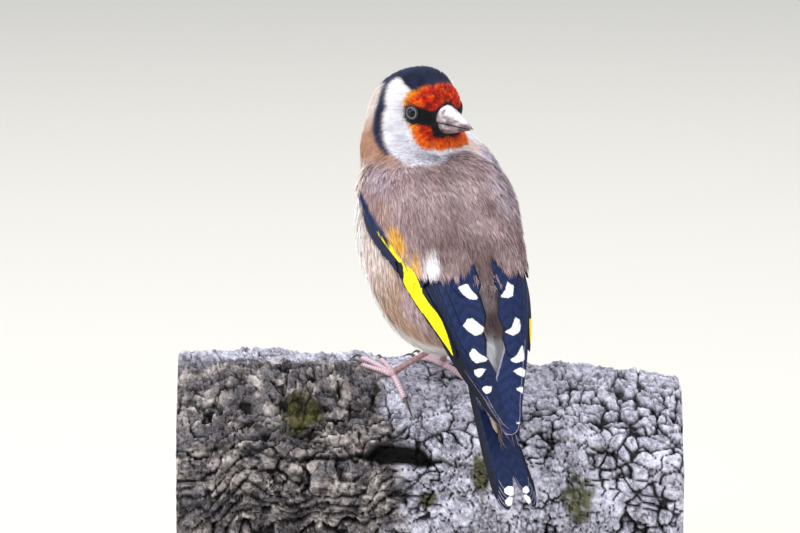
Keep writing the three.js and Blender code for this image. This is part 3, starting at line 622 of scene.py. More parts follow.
def bent_grid(name, rows, columns, place, material):
    """A bmesh grid bent and closed by place(u, v), which gives points in mm and tones for u and v
    from 0 to 1."""
    bm = bmesh.new()
    bmesh.ops.create_grid(bm, x_segments=rows, y_segments=columns, size=0.5)
    uv = np.array([v.co[:2] for v in bm.verts]) + 0.5
    points, tones = place(uv[:, 0], uv[:, 1])
    layer = bm.verts.layers.float_color.new("Tone")
    for vert, point, tone in zip(bm.verts, points, tones):
        vert.co = Vector(point * MM)
        vert[layer] = (*tone, 1.0)
    bmesh.ops.remove_doubles(bm, verts=bm.verts, dist=WELD)
    holes = [e for e in bm.edges if e.is_boundary]
    if holes:
        bmesh.ops.holes_fill(bm, edges=holes, sides=0)
    bmesh.ops.recalc_face_normals(bm, faces=bm.faces)
    for face in bm.faces:
        face.smooth = True
    return piece_from(bm, name, material)


def even_tone(tone):
    """The same tone in red, green and blue, from 0 to 1."""
    return np.stack([np.clip(tone, 0, 1)] * 3, -1)


def piece_from(bm, name, material):
    """A linked object made of a bmesh, which is freed."""
    mesh = bpy.data.meshes.new(name)
    bm.to_mesh(mesh)
    bm.free()
    mesh.materials.append(material)
    piece = bpy.data.objects.new(name, mesh)
    bpy.context.scene.collection.objects.link(piece)
    return piece


def ball(name, centre, radius, segments, tone, material, turn=Matrix.Identity(4)):
    """A sphere of mm sizes, with rings along its axis, coloured by tone(degrees off the axis)."""
    bm = bmesh.new()
    bmesh.ops.create_uvsphere(bm, u_segments=segments, v_segments=segments * 2 // 3, radius=radius * MM)
    layer = bm.verts.layers.float_color.new("Tone")
    for vert in bm.verts:
        vert[layer] = (*tone(math.degrees(vert.co.angle(Vector((0, 0, 1))))), 1)
    bmesh.ops.transform(bm, matrix=Matrix.Translation(Vector(centre * MM)) @ turn, verts=bm.verts)
    for face in bm.faces:
        face.smooth = True
    return piece_from(bm, name, material)


def settle(piece, slot, *nodes):
    """The piece rides on the one body and stands for CAD nodes, which it hides; slot is not used."""
    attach(piece, "root")
    if nodes:
        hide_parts(*nodes)


# Materials

def add_node(tree, kind, links=None, **settings):
    """Adds a node, sets its properties or inputs by name, and links its inputs."""
    made = tree.nodes.new(kind)
    for key, value in settings.items():
        if hasattr(made, key) and key not in made.inputs:
            setattr(made, key, value)
        else:
            made.inputs[key.replace("_", " ") if key not in made.inputs else key].default_value = value
    for key, source in (links or {}).items():
        tree.links.new(source, made.inputs[key])
    return made


def new_material(name, **sockets):
    """A material with its shader's inputs set by name."""
    material = bpy.data.materials.new(name)
    material.use_nodes = True
    tree = material.node_tree
    shader = tree.nodes["Principled BSDF"]
    for key, value in sockets.items():
        shader.inputs[key.replace("_", " ")].default_value = value
    return material, tree, shader


def ramp(tree, source, stops):
    """Colours by the value of a source, between stops of place and colour."""
    made = add_node(tree, "ShaderNodeValToRGB", {"Fac": source})
    elements = made.color_ramp.elements
    for i, (at, colour) in enumerate(stops):
        element = elements[i] if i < 2 else elements.new(at)
        element.position = at
        element.color = (*linear(colour), 1)
    return made.outputs["Color"]


def bump(tree, shader, height, strength, distance):
    """Gives the shader a fine relief, distance in metres."""
    made = add_node(tree, "ShaderNodeBump", {"Height": height}, Strength=strength, Distance=distance)
    tree.links.new(made.outputs["Normal"], shader.inputs["Normal"])


def channels(tree, name):
    """Red, green and blue of a colour attribute, and its alpha."""
    made = add_node(tree, "ShaderNodeAttribute", attribute_name=name)
    parts = add_node(tree, "ShaderNodeSeparateColor", {"Color": made.outputs["Color"]})
    return (*(parts.outputs[key] for key in ("Red", "Green", "Blue")), made.outputs["Alpha"])


def weighed(tree, source, weight, added):
    """The source times the weight, plus a number or another source."""
    links, numbers = {0: source}, {1: weight}
    (links if hasattr(added, "is_output") else numbers)[2] = added
    made = add_node(tree, "ShaderNodeMath", links, operation="MULTIPLY_ADD")
    for key, value in numbers.items():
        made.inputs[key].default_value = value
    return made.outputs[0]


def noise(tree, vector, scale, detail, roughness=0.5, distortion=0.0):
    made = add_node(tree, "ShaderNodeTexNoise", {"Vector": vector}, Scale=scale, Detail=detail,
                    Roughness=roughness, Distortion=distortion)
    return made.outputs["Fac"]


def object_point(tree):
    return add_node(tree, "ShaderNodeTexCoord").outputs["Object"]


def mixed(tree, a, b, factor):
    """Colour mix of two linked or fixed colours."""
    made = add_node(tree, "ShaderNodeMix", data_type="RGBA", blend_type="MIX")
    for socket, value in ((made.inputs[6], a), (made.inputs[7], b), (made.inputs[0], factor)):
        if hasattr(value, "is_output"):
            tree.links.new(value, socket)
        elif isinstance(value, str):
            socket.default_value = (*linear(value), 1)
        else:
            socket.default_value = value
    return made.outputs[2]


def contour_plumage():
    # Contour feathers: loose keratin barbs, matt, with a faint soft sheen at grazing angles
    material, tree, shader = new_material("contour feather", Roughness=0.72, Specular_IOR_Level=0.25,
                                          Sheen_Weight=0.12, Sheen_Roughness=0.5)
    colour = add_node(tree, "ShaderNodeAttribute", attribute_name="Plumage")
    tree.links.new(colour.outputs["Color"], shader.inputs["Base Color"])
    return material


def vane_plumage():
    # Flight feathers: closed keratin vanes, satin; the way their barbs lie shows as soft bands
    # about 3 mm apart, in relief and as a painted sheen of lighter blue
    material, tree, shader = new_material("flight feather vane", Roughness=0.55,
                                          Specular_IOR_Level=0.22)
    white, yellow, pale, dark = channels(tree, "Marks")
    lie = add_node(tree, "ShaderNodeUVMap", uv_map="Lie").outputs["UV"]
    barb = add_node(tree, "ShaderNodeTexWave", {"Vector": lie}, wave_type="BANDS", bands_direction="X",
                    Scale=0.11, Distortion=1.2, Detail=2.0, Detail_Scale=1.5).outputs["Fac"]
    fray = noise(tree, lie, 1.6, 3.0)
    navy = ramp(tree, fray, [(0.3, "#09142e"), (0.7, "#15295a")])
    # Painted sheen: lighter blue along the barbs' bands
    navy = mixed(tree, navy, "#2c4788", weighed(tree, barb, 0.16, 0.0))
    colour = mixed(tree, navy, "#0a0c14", dark)
    shift = weighed(tree, fray, 0.10, -0.05)
    for depth, paint in ((pale, "#9a93ad"), (yellow, "#fbe500"), (white, "#f8f8fb")):
        moved = add_node(tree, "ShaderNodeMath", {0: depth, 1: shift}, operation="ADD").outputs[0]
        edge = add_node(tree, "ShaderNodeMapRange", {"Value": moved}, From_Min=0.475, From_Max=0.525)
        colour = mixed(tree, colour, paint, edge.outputs["Result"])
    tree.links.new(colour, shader.inputs["Base Color"])
    bump(tree, shader, barb, 0.25, 0.0001)
    return material


def mid_tone(a, b):
    return "#" + "".join(f"{(int(a[i:i + 2], 16) + int(b[i:i + 2], 16)) // 2:02x}" for i in (1, 3, 5))


def horn(name, pale, dark, roughness):
    # Horn sheath of bill and claws, and bare lid skin: keratin, smooth with faint growth lines
    material, tree, shader = new_material(name, Roughness=roughness, Coat_Weight=0.15,
                                          Coat_Roughness=0.25, Subsurface_Weight=0.0)
    grain = noise(tree, object_point(tree), 900.0, 4.0)
    tone = weighed(tree, grain, 0.2, channels(tree, "Tone")[0])
    colour = ramp(tree, tone, [(0.15, pale), (0.6, mid_tone(pale, dark)), (1.15, dark)])
    tree.links.new(colour, shader.inputs["Base Color"])
    bump(tree, shader, grain, 0.15, 0.0001)
    return material


def eye_gloss():
    # Cornea over a dark brown iris: wet and mirror smooth
    material, tree, shader = new_material("cornea", Roughness=0.05, IOR=1.36, Specular_IOR_Level=0.4)
    tone = add_node(tree, "ShaderNodeAttribute", attribute_name="Tone")
    tree.links.new(tone.outputs["Color"], shader.inputs["Base Color"])
    return material


def scaled_skin():
    # Leg and toe skin: soft keratin scutes, pinkish, satin, darker between them
    material, tree, shader = new_material("scaled leg skin", Roughness=0.48, Subsurface_Weight=0.08)
    shader.inputs["Subsurface Radius"].default_value = (0.0012, 0.0005, 0.0003)
    shader.inputs["Subsurface Scale"].default_value = 0.5
    mottle = noise(tree, object_point(tree), 1200.0, 3.0)
    tone = weighed(tree, mottle, 0.3, channels(tree, "Tone")[0])
    colour = ramp(tree, tone, [(0.1, "#6b4743"), (0.45, "#ad8a8c"), (0.9, "#e0c6d2")])
    tree.links.new(colour, shader.inputs["Base Color"])
    bump(tree, shader, mottle, 0.2, 0.00015)
    return material


def weathered_bark():
    # Dead bark: dry, matt, silver-lilac with algae, brown in the breaks; painted shade almost black in
    # cracks
    material, tree, shader = new_material("weathered bark", Roughness=0.88, Specular_IOR_Level=0.2)
    crack, broken, mossy, _ = channels(tree, "Tone")
    coarse = noise(tree, object_point(tree), 160.0, 9.0, 0.7)
    fine = noise(tree, object_point(tree), 900.0, 7.0, 0.75)
    silver = ramp(tree, coarse, [(0.36, "#4c4854"), (0.47, "#a4a2b6"), (0.58, "#e4e6f6")])
    flecks = ramp(tree, fine, [(0.38, "#3f3b44"), (0.49, "#b9b6c6"), (0.6, "#f4f4fb")])
    silver = mixed(tree, silver, flecks, 0.5)
    brown = ramp(tree, coarse, [(0.38, "#0f0a08"), (0.49, "#4a3a2e"), (0.59, "#c8bdb4")])
    brown = mixed(tree, brown, flecks, 0.25)
    colour = mixed(tree, silver, brown, broken)
    moss = ramp(tree, fine, [(0.35, "#1c1a08"), (0.6, "#5a5a1c")])
    colour = mixed(tree, colour, moss, mossy)
    # Painted shade: the Tone's first channel darkens cracks, ledges' undersides and splits almost to black
    colour = mixed(tree, colour, "#0b0908", crack)
    tree.links.new(colour, shader.inputs["Base Color"])
    bump(tree, shader, fine, 0.6, 0.0006)
    return material


def stretched_noise(tree, stretch, scale, detail, roughness=0.5, distortion=0.0):
    place = add_node(tree, "ShaderNodeMapping", {"Vector": object_point(tree)})
    place.inputs["Scale"].default_value = stretch
    return noise(tree, place.outputs["Vector"], scale, detail, roughness, distortion)


def oiled_wood():
    # Display base: dark oiled walnut, satin, with a grain about 5 mm wide drawn out along X
    material, tree, shader = new_material("oiled walnut", Roughness=0.38, Coat_Weight=0.1)
    grain = stretched_noise(tree, (9.0, 70.0, 70.0), 3.0, 8.0, 0.6, 0.6)
    colour = ramp(tree, grain, [(0.3, "#24150d"), (0.5, "#3f281a"), (0.7, "#5d3e28")])
    tree.links.new(colour, shader.inputs["Base Color"])
    bump(tree, shader, grain, 0.15, 0.0002)
    return material


def brushed_brass():
    # Rods: drawn brass, brushed round, warm and half bright
    material, tree, shader = new_material("brushed brass", Metallic=1.0, Roughness=0.3)
    lines = stretched_noise(tree, (40.0, 40.0, 2500.0), 1.0, 3.0)
    colour = ramp(tree, lines, [(0.35, "#a8834a"), (0.65, "#cfae6c")])
    tree.links.new(colour, shader.inputs["Base Color"])
    bump(tree, shader, lines, 0.08, 0.0001)
    return material


# The skin and its coat

VOXEL = 0.9  # mm, the skin's remesh
MASS_INSET = 0.6  # mm by which the masses shrink before they are joined
SKIN_PAINTED_SHADE = 0.7  # painted shade: how much darker the skin is than the feathers' colour, as in their shadow


def flesh_skin(material):
    """One skin over torso, neck and head: ellipsoids joined by a remesh and drawn to the skin."""
    bm = bmesh.new()
    for part, centre, size in MASSES:
        turn = Matrix(np.stack([part.along, part.right, part.up], -1).tolist()).to_4x4()
        matrix = Matrix.Translation(Vector(part.place(*centre) * MM)) @ turn
        matrix = matrix @ Matrix.Diagonal((*[(r - MASS_INSET) * MM for r in size], 1))
        bmesh.ops.create_icosphere(bm, subdivisions=4, radius=1.0, matrix=matrix)
    bmesh.ops.recalc_face_normals(bm, faces=bm.faces)
    skin = piece_from(bm, "skin", material)
    remesh = skin.modifiers.new("join", "REMESH")
    remesh.mode, remesh.voxel_size, remesh.use_smooth_shade = "VOXEL", VOXEL * MM, True
    joined = bpy.data.meshes.new_from_object(skin.evaluated_get(bpy.context.evaluated_depsgraph_get()))
    skin.modifiers.clear()
    skin.data = joined
    count = len(joined.vertices)
    points = np.empty(count * 3, np.float32)
    joined.vertices.foreach_get("co", points)
    points = points.reshape(-1, 3).astype(float) / MM
    for _ in range(5):
        points = drawn(coat_value, points, 0.0, 1.5)
    joined.vertices.foreach_set("co", (points * MM).astype(np.float32).ravel())
    layer = joined.color_attributes.new(name="Plumage", type="FLOAT_COLOR", domain="POINT")
    rgba = np.ones((count, 4), np.float32)
    a, s, d = BODY.local(points)
    between = (a < -10) & (np.abs(s) < 5) & (d > 0)
    # Painted shade: the skin takes the feathers' colour darkened, as in their shadow, except between the
    # wings
    rgba[:, :3] = plumage(points, np.zeros(count)) * np.where(between, 1.0, SKIN_PAINTED_SHADE)[:, None]
    layer.data.foreach_set("color", rgba.ravel())
    joined.update()
    return skin, points


def even_roots(skin, points, rng, density):
    """Points spread evenly over the skin's triangles, density(points) to a square millimetre."""
    mesh = skin.data
    mesh.calc_loop_triangles()
    tris = np.empty(len(mesh.loop_triangles) * 3, np.int32)
    mesh.loop_triangles.foreach_get("vertices", tris)
    tris = tris.reshape(-1, 3)
    a, b, c = points[tris[:, 0]], points[tris[:, 1]], points[tris[:, 2]]
    area = np.linalg.norm(np.cross(b - a, c - a), axis=-1) / 2
    expected = area * density((a + b + c) / 3)
    total = np.cumsum(expected)
    picks = np.arange(0.5, total[-1])
    picks = picks + rng.uniform(-0.5, 0.5, len(picks))
    i = np.clip(np.searchsorted(total, picks), 0, len(tris) - 1)
    r1, r2 = np.sqrt(rng.random(len(i))), rng.random(len(i))
    return (1 - r1)[:, None] * a[i] + (r1 * (1 - r2))[:, None] * b[i] + (r1 * r2)[:, None] * c[i]


def lie_of_coat(points, normals):
    """The way the feathers lie: away from the bill on the head, towards the tail on the body."""
    # On the head they stream away from the bill's root, and down behind
    f = HEAD.local(points)[0]
    down = 0.25 + 1.1 * smoothstep(1.0, -7.0, f)
    from_bill = unit(points - HEAD.place(9.5, 0, 0.8)) - down[:, None] * HEAD.up
    on_head = near_face(points)
    # On the body they lean down on the flanks, and inwards over the rump
    a, s, _ = BODY.local(points)
    side = np.sign(s)[:, None] * BODY.right
    to_tail = -BODY.along - 0.10 * BODY.up * (np.abs(s) > 9)[:, None]
    to_tail = to_tail - 0.16 * side * smoothstep(-12, -34, a)[:, None]
    way = unit(to_tail) * (1 - on_head[:, None]) + unit(from_bill) * on_head[:, None]
    way = way - (way * normals).sum(-1, keepdims=True) * normals
    return unit(way), on_head


PATCH_WIDE = 0.96  # of the unwrap's width
# Where the body and the head start on the unwrap and how much of its height they take; and where
# they start and how long they are, mm
BODY_ROWS, BODY_SPAN = (0.02, 0.56), (-58, 92)
HEAD_ROWS, HEAD_SPAN = (0.64, 0.33), (-14, 28)
HEAD_BALL = 14  # mm from the head's middle within which a root is the head's


def oval_patch(points):
    """Where a root lies on an unwrap of the skin's own shape: the body below, the head above."""
    def patch(turn, at, rows, span):
        return np.stack([0.5 + turn / (2 * np.pi) * PATCH_WIDE,
                         rows[0] + (at - span[0]) / span[1] * rows[1]], -1)

    a, s, d = BODY.local(points)
    f, head_side, u = HEAD.local(points)
    body_uv = patch(np.arctan2(s, -d), a, BODY_ROWS, BODY_SPAN)
    head_uv = patch(np.arctan2(head_side, f + 1), u, HEAD_ROWS, HEAD_SPAN)
    on_head = from_head(points) < HEAD_BALL
    return np.clip(np.where(on_head[:, None], head_uv, body_uv), 0.004, 0.996)


STRANDS = 6  # to a tuft
STRAND_AT = np.array([0.0, 0.35, 0.72, 1.0])  # places along a strand
STRAND_PAINTED_SHADE = np.array([0.5, 0.78, 1.0, 1.08])  # painted shade: brightness there, darker towards the root as if shaded by the coat, a little lighter at the tip
STRAND_ROW = np.array([0, 0, 1, 1, 2, 2, 3])  # the place of each of a strand's points
STRAND_OUT = np.array([-0.8, 0.8, -1.0, 1.0, -0.7, 0.7, 0.0])  # and how far off the middle it is
STRAND_FACES = np.array([[0, 1, 3], [0, 3, 2], [2, 3, 5], [2, 5, 4], [4, 5, 6]])
COAT_LIMIT = 190000  # triangles in one coat piece
WING_FRONT = 21.0  # the wing ends here, mm ahead of the body's centre
WING_CLEARANCE = 0.75  # how far over the wing the mantle's last feathers lie, mm
ROOT_DEPTH, ROOT_LEVEL = 0.25, 0.3  # mm that a tuft's root sinks along the normal, and its level
FACE_REACH, FACE_LEVEL = 6.5, 0.55  # near the bill the tips lie at this level, mm
UV_STEP, UV_RISE = 0.0026, 0.0028  # a tuft's width and length on the unwrap


def tuft_sizes(roots, on_head, rng):
    """Length of each tuft, longer away from the bill, and the level that its tip reaches, mm."""
    a, s, d = BODY.local(roots)
    f, head_side, u = HEAD.local(roots)
    bill_far = np.linalg.norm(np.stack([f, np.abs(head_side), u], -1) - BILL_FRONT, axis=-1)
    short = np.interp(bill_far, [4, 9, 16, 24], [1.5, 2.0, 3.6, 5.0])
    turn = np.degrees(np.arctan2(np.abs(s), d))
    long = np.interp(turn, [0, 70, 110, 180], [5.6, 5.6, 6.8, 7.5])
    long = np.where((a < -24) & (turn < 80), np.interp(a, [-46, -36, -24], [10.5, 8.0, 6.0]), long)
    length = short * on_head + long * (1 - on_head)
    length *= rng.uniform(0.82, 1.12, len(roots))
    tip_level = (COAT_DEPTH + rng.uniform(-0.25, 0.45, len(roots))) * (1 - HEAD_THINNING * on_head)
    return length, np.where(bill_far < FACE_REACH, FACE_LEVEL, tip_level)


def tuft_lines(roots, normals, way, on_head, length, tip_level):
    """Places along the centre line of each tuft, drawn to rise off the skin and follow it."""
    lines = []
    for t in STRAND_AT:
        p = roots + way * (length * t)[:, None] - normals * (ROOT_DEPTH * (1 - t))
        level = -ROOT_LEVEL + (tip_level + ROOT_LEVEL) * t ** 0.75
        for _ in range(2 if t > 0 else 0):
            p = drawn(coat_value, p, level, 2.0)
        _, past, inside_mantle, height = under_wing(p)
        over = (past < 0.5) & (inside_mantle < 7) & (inside_mantle > -4) & (on_head < 0.5)
        over &= BODY.local(p)[0] < WING_FRONT
        rise = np.where(over, np.clip(WING_CLEARANCE - height, 0, 3), 0) * min(t * 3, 1)
        lines.append(p + normals * rise[:, None])
    return np.stack(lines, 1)


def sound_tufts(roots, lines, on_head, length):
    """Tufts that aren't drawn out, don't stick out and don't hide the left wing's tip."""
    a, s, d = BODY.local(roots)
    sound = np.linalg.norm(lines[:, -1] - roots, axis=-1) < 1.35 * length + 1.0
    sound &= coat_value(lines[:, -1]) < COAT_DEPTH * (3 - 1.7 * on_head)
    return sound & ~((a < -35) & (s < 0.8) & (d > -2))


def barb_colours(centre, on_head, rng):
    """The markings' colour along each barb, with painted shade darker towards the root, and varied from
    barb to barb.
    """
    n, _, places, _ = centre.shape
    wobble = rng.uniform(-1, 1, (n, STRANDS))
    colour = plumage(centre.reshape(-1, 3), np.repeat(wobble.ravel(), places)).reshape(centre.shape)
    vary = 1 + 0.29 * rng.standard_normal((n, STRANDS)) * (0.7 + 0.3 * rng.random((n, 1)))
    vary *= (1 + 0.07 * rng.standard_normal((n, 1)))
    red, blue = colour[..., 0].mean(-1), colour[..., 2].mean(-1)
    brightness = smoothstep(0.35, 0.8, blue)
    redness = smoothstep(0.25, 0.5, red - 2 * blue) * on_head[:, None]
    vary *= 1 + 0.32 * redness * rng.standard_normal((n, 1))
    vary = 1 + (vary - 1) * (1 - 0.75 * brightness)
    # Painted shade along each barb, weaker on pale colours
    shade = 1 + (STRAND_PAINTED_SHADE - 1) * (1 - 0.6 * brightness[..., None])
    return colour * (np.clip(vary, 0.45, 1.5)[..., None] * shade)[..., None]


def coat_tufts(roots, rng, material):
    """Tufts of tapering barbs over the skin, coloured by the shared markings."""
    normals = unit(slope(coat_value, roots)[1])
    way, on_head = lie_of_coat(roots, normals)
    length, tip_level = tuft_sizes(roots, on_head, rng)
    lines = tuft_lines(roots, normals, way, on_head, length, tip_level)
    across = np.cross(normals, way)
    sound = sound_tufts(roots, lines, on_head, length)
    roots, normals, across, lines, on_head = (
        values[sound] for values in (roots, normals, across, lines, on_head))
    n = len(roots)
    width = 0.55 + 0.75 * (1 - on_head)
    barb = 0.12 + 0.08 * (1 - on_head)
    offset = (np.arange(STRANDS) + 0.5) / STRANDS - 0.5
    offset = offset[None] + rng.uniform(-0.06, 0.06, (n, STRANDS))
    shorten = 1 - 0.35 * np.abs(offset * 2) ** 1.5 * rng.uniform(0.6, 1.3, (n, STRANDS))
    place = STRAND_AT[None, None] * shorten[..., None]
    k = np.clip(np.searchsorted(STRAND_AT, place, side="right") - 1, 0, len(STRAND_AT) - 2)
    t = (place - STRAND_AT[k]) / (STRAND_AT[k + 1] - STRAND_AT[k])
    rows = np.arange(n)[:, None, None]
    centre = lines[rows, k] * (1 - t[..., None]) + lines[rows, k + 1] * t[..., None]
    spread = 0.55 + 0.75 * STRAND_AT
    sideways = (offset[..., None] * width[:, None, None] * spread)[..., None]
    centre = centre + across[:, None, None] * sideways
    lift = rng.uniform(-0.12, 0.16, (n, STRANDS))[..., None] * STRAND_AT
    centre = centre + normals[:, None, None] * lift[..., None]
    roll = rng.uniform(-0.5, 0.5, (n, STRANDS))[..., None]
    blade = across[:, None] * np.cos(roll) + normals[:, None] * np.sin(roll)
    half = 0.5 * barb[:, None] * rng.uniform(0.8, 1.25, (n, STRANDS))
    points = centre[:, :, STRAND_ROW] + blade[:, :, None] * (half[..., None] * STRAND_OUT)[..., None]
    colours = np.clip(barb_colours(centre, on_head, rng), 0, 1)[:, :, STRAND_ROW]
    patch = oval_patch(roots)
    uv = np.broadcast_to(patch[:, None, None], (*points.shape[:3], 2)).copy()
    uv[..., 0] += offset[..., None] * UV_STEP
    uv[..., 1] += (STRAND_AT[STRAND_ROW] - 0.5) * UV_RISE
    order = np.argsort(patch[:, 1], kind="stable")
    batch = COAT_LIMIT // (STRANDS * len(STRAND_FACES))
    pieces = []
    for number, start in enumerate(range(0, n, batch)):
        chosen = order[start:start + batch]
        heap = Heap()
        first = np.arange(len(chosen) * STRANDS)[:, None, None] * len(STRAND_ROW)
        heap.add(points[chosen].reshape(-1, 3), (first + STRAND_FACES[None]).reshape(-1, 3),
                 Plumage=colours[chosen].reshape(-1, 3), uv_OFBake=uv[chosen].reshape(-1, 2))
        pieces.append(heap.piece(f"coat_{number + 1:02d}", material, smooth=False))
    return pieces


# Flight feathers

TERTIALS = [(-33.4, 0.78), (-27.2, 0.86), (-19.0, 0.90)]
PRIMARY_TIPS = [(-54.4, 0.48), (-54.9, 0.55), (-53.6, 0.62), (-51.0, 0.70), (-49.9, 0.74),
                (-45.6, 0.66), (-41.9, 0.64), (-39.4, 0.64), (-37.6, 0.68)]
YELLOW_A = [-30.5, -28, -24.8, -20.8, -16.5, -12.5, -8.2, -7.2, -5.2, -3, 0.2, 6]
YELLOW_LOW = [0.263, 0.238, 0.188, 0.131, 0.056, 0.0, 0.0, 0.1, 0.175, 0.156, 0.138, 0.13]
YELLOW_TOP_A = [-30.5, -28, -25.5, -22.5, -20.2, -17.2, -14, -12.2, -10, -6.8, -3.8, -0.2, 6]
YELLOW_TOP = [0.288, 0.35, 0.388, 0.40, 0.375, 0.312, 0.275, 0.319, 0.325, 0.312, 0.35, 0.438, 0.45]
# White spots at the feathers' tips as they are seen, from the body's centre: left wing, right wing
WING_SPOTS = {-1: [Marking(outline) for outline in (
    [(4.0, -6.6), (5.2, -6.1), (6.2, -5.6), (7.2, -7.3), (8.9, -9.0), (8.4, -9.5), (6.7, -9.5),
     (5.0, -8.1)],
    [(5.2, -15.9), (6.2, -14.2), (7.4, -14.0), (9.1, -15.4), (10.6, -16.6), (9.6, -17.8), (8.1, -18.3),
     (6.4, -17.1)],
    [(6.7, -22.5), (7.7, -21.0), (9.1, -22.5), (11.3, -23.7), (10.6, -24.4), (8.4, -24.8), (7.2, -23.9)],
    [(7.9, -26.4), (9.1, -26.1), (10.8, -26.1), (9.6, -27.8), (8.9, -28.3), (7.9, -27.3)],
    [(9.6, -31.0), (10.3, -30.3), (12.3, -30.3), (11.8, -31.7), (10.8, -32.2)],
)], 1: [Marking(outline) for outline in (
    [(14.2, -8.9), (15.5, -7.1), (16.0, -5.1), (16.7, -5.9), (17.5, -6.1), (17.3, -8.7), (16.0, -9.2)],
    [(15.1, -17.3), (16.9, -16.4), (17.9, -13.7), (18.9, -14.5), (19.2, -16.1), (18.9, -17.3),
     (17.4, -18.3)],
    [(16.3, -24.2), (18.1, -23.0), (19.6, -20.4), (20.0, -22.5), (20.1, -24.2), (18.1, -24.8)],
    [(17.2, -26.6), (19.1, -25.9), (20.5, -26.6), (19.9, -28.3), (18.4, -27.6)],
    [(17.7, -31.0), (19.1, -30.5), (20.3, -30.8), (19.6, -32.2), (18.9, -31.7)],
    [(17.7, -38.9), (19.0, -38.8), (18.8, -39.3), (18.0, -39.3)],
)]}
RIGHT_YELLOW_TOP = -14.2  # mm above the body's centre, as seen, where the right wing's yellow ends
SPOT_LIMIT = 0.42  # w below which the wing has no spots
TAIL_SPOTS = {-1: [Marking(outline) for outline in (
    [(15.0, -54.9), (16.2, -54.2), (18.6, -54.7), (17.9, -56.1), (16.7, -56.6), (15.2, -55.9)],
    [(15.2, -57.8), (16.2, -56.7), (17.5, -57.1), (17.9, -58.1), (16.4, -59.0), (15.5, -58.7)],
)], 1: [Marking(outline) for outline in (
    [(19.5, -54.8), (20.5, -54.2), (21.3, -55.4), (20.6, -56.1), (19.5, -55.8)],
    [(19.1, -57.0), (20.3, -56.2), (21.3, -57.1), (21.6, -58.3), (20.3, -58.7), (19.1, -58.0)],
)]}


def spot_depth(spots, points):
    """How far inside the nearest white spot points lie as they are seen, mm."""
    x, y = seen(BODY, *BODY.local(points))
    return np.max([spot.depth(x, y) for spot in spots], axis=0)


# The closed wing's outermost and innermost feathers: root, tip, width, lifts, fringe, darkness and
# how late the feather bends towards its tip; the right wing lies over the left one
EDGE_FEATHERS = {-1: [((-16, 0.60), (-50.5, 0.92), 5.2, -0.8, -0.6, 0.12, 0.3, 1.0),
                      ((-12, 0.16), (-49.0, 0.22), 5.0, -1.5, -1.1, 0.0, 0.9, 1.0),
                      ((-14, 0.30), (-52.0, 0.55), 5.0, -1.3, -1.0, 0.0, 0.9, 1.0)],
                 1: [((-14, 0.45), (-50.8, 0.80), 6.0, -0.5, -0.45, 0.0, 0.1, 1.0),
                     ((-20, 0.66), (-52.0, 1.15), 6.0, -0.35, -0.3, 0.30, 0.0, 1.6)]}
BAND_FEATHERS = [((2, 0.04), (-18.0, 0.08), 3.6), ((0, 0.09), (-23.5, 0.17), 4.0),
                 ((-2, 0.15), (-28.0, 0.25), 4.2), ((-4, 0.22), (-31.5, 0.31), 4.4)]


# Rows of coverts: how many, first and last root, first and last tip, width, lift and darkness
COVERTS = [(5, (8, 0.05), (5, 0.2), (-12.5, 0.06), (-10.5, 0.24), 3.4, -0.15, 0.85),
           (8, (4, 0.3), (6, 0.86), (-13.0, 0.34), (-10.5, 0.86), 4.4, 0.1, 0.3),
           (6, (10, 0.22), (12, 0.82), (-4.5, 0.22), (-3, 0.82), 4.8, 0.4, 0.3),
           (3, (15, 0.02), (12, 0.14), (-5, 0.03), (-1.5, 0.16), 2.8, 0.25, 0.5)]
BEND_LATE = 0.9  # how late most feathers bend towards their tips
SECONDARIES = 6


def lerp(start, end, t):
    """The value t of the way from start to end; tuples give a tuple."""
    if isinstance(start, tuple):
        return tuple(lerp(p, q, t) for p, q in zip(start, end))
    return start + (end - start) * t


def feather_list(side):
    """Every visible feather of a wing: root and tip on the wing, width, lifts at root and tip,
    fringe, darkness and how late it bends."""
    rows = list(EDGE_FEATHERS[side])
    for root, tip, width in BAND_FEATHERS:
        rows.append((root, tip, width, -0.5, -0.35, 0.0, 0.9, BEND_LATE))
    for i, tip in enumerate(PRIMARY_TIPS):
        t = i / (len(PRIMARY_TIPS) - 1)
        rows.append((lerp((-4, 0.1), (-12, 0.34), t), tip, lerp(4.4, 5.6, t), lerp(-2.2, -1.0, t),
                     lerp(-1.0, -0.55, t), 0.12 if 0 < i < 6 else 0.0, lerp(0.8, 0.2, t), BEND_LATE))
    for i in range(SECONDARIES):
        t = i / (SECONDARIES - 1)
        rows.append((lerp((-8, 0.36), (-2, 0.62), t), lerp((-37.0, 0.52), (-34.5, 0.68), t), 5.6,
                     lerp(-1.3, -0.6, t), lerp(-0.75, -0.35, t), 0.0, lerp(0.85, 0.25, t), BEND_LATE))
    for i, tip in enumerate(TERTIALS):
        rows.append(((0, 0.68 + 0.1 * i), tip, 6.8 - 0.2 * i, -0.5 + 0.25 * i, -0.1 + 0.2 * i, 0.0,
                     0.05, BEND_LATE))
    for count, root, last_root, tip, last_tip, width, lift, dark in COVERTS:
        for i in range(count):
            t = i / (count - 1)
            rows.append((lerp(root, last_root, t), lerp(tip, last_tip, t), width,
                         lift - 0.1 * (i % 2), lift, 0.0, dark, BEND_LATE))
    return rows


VANE_AT = np.array([0, 0.3, 0.62, 0.86, 0.95, 0.985, 1.0])
VANE_WIDE = np.array([0.6, 0.9, 1.0, 0.88, 0.6, 0.36, 0.06])
VANE_THICK = 0.32  # mm


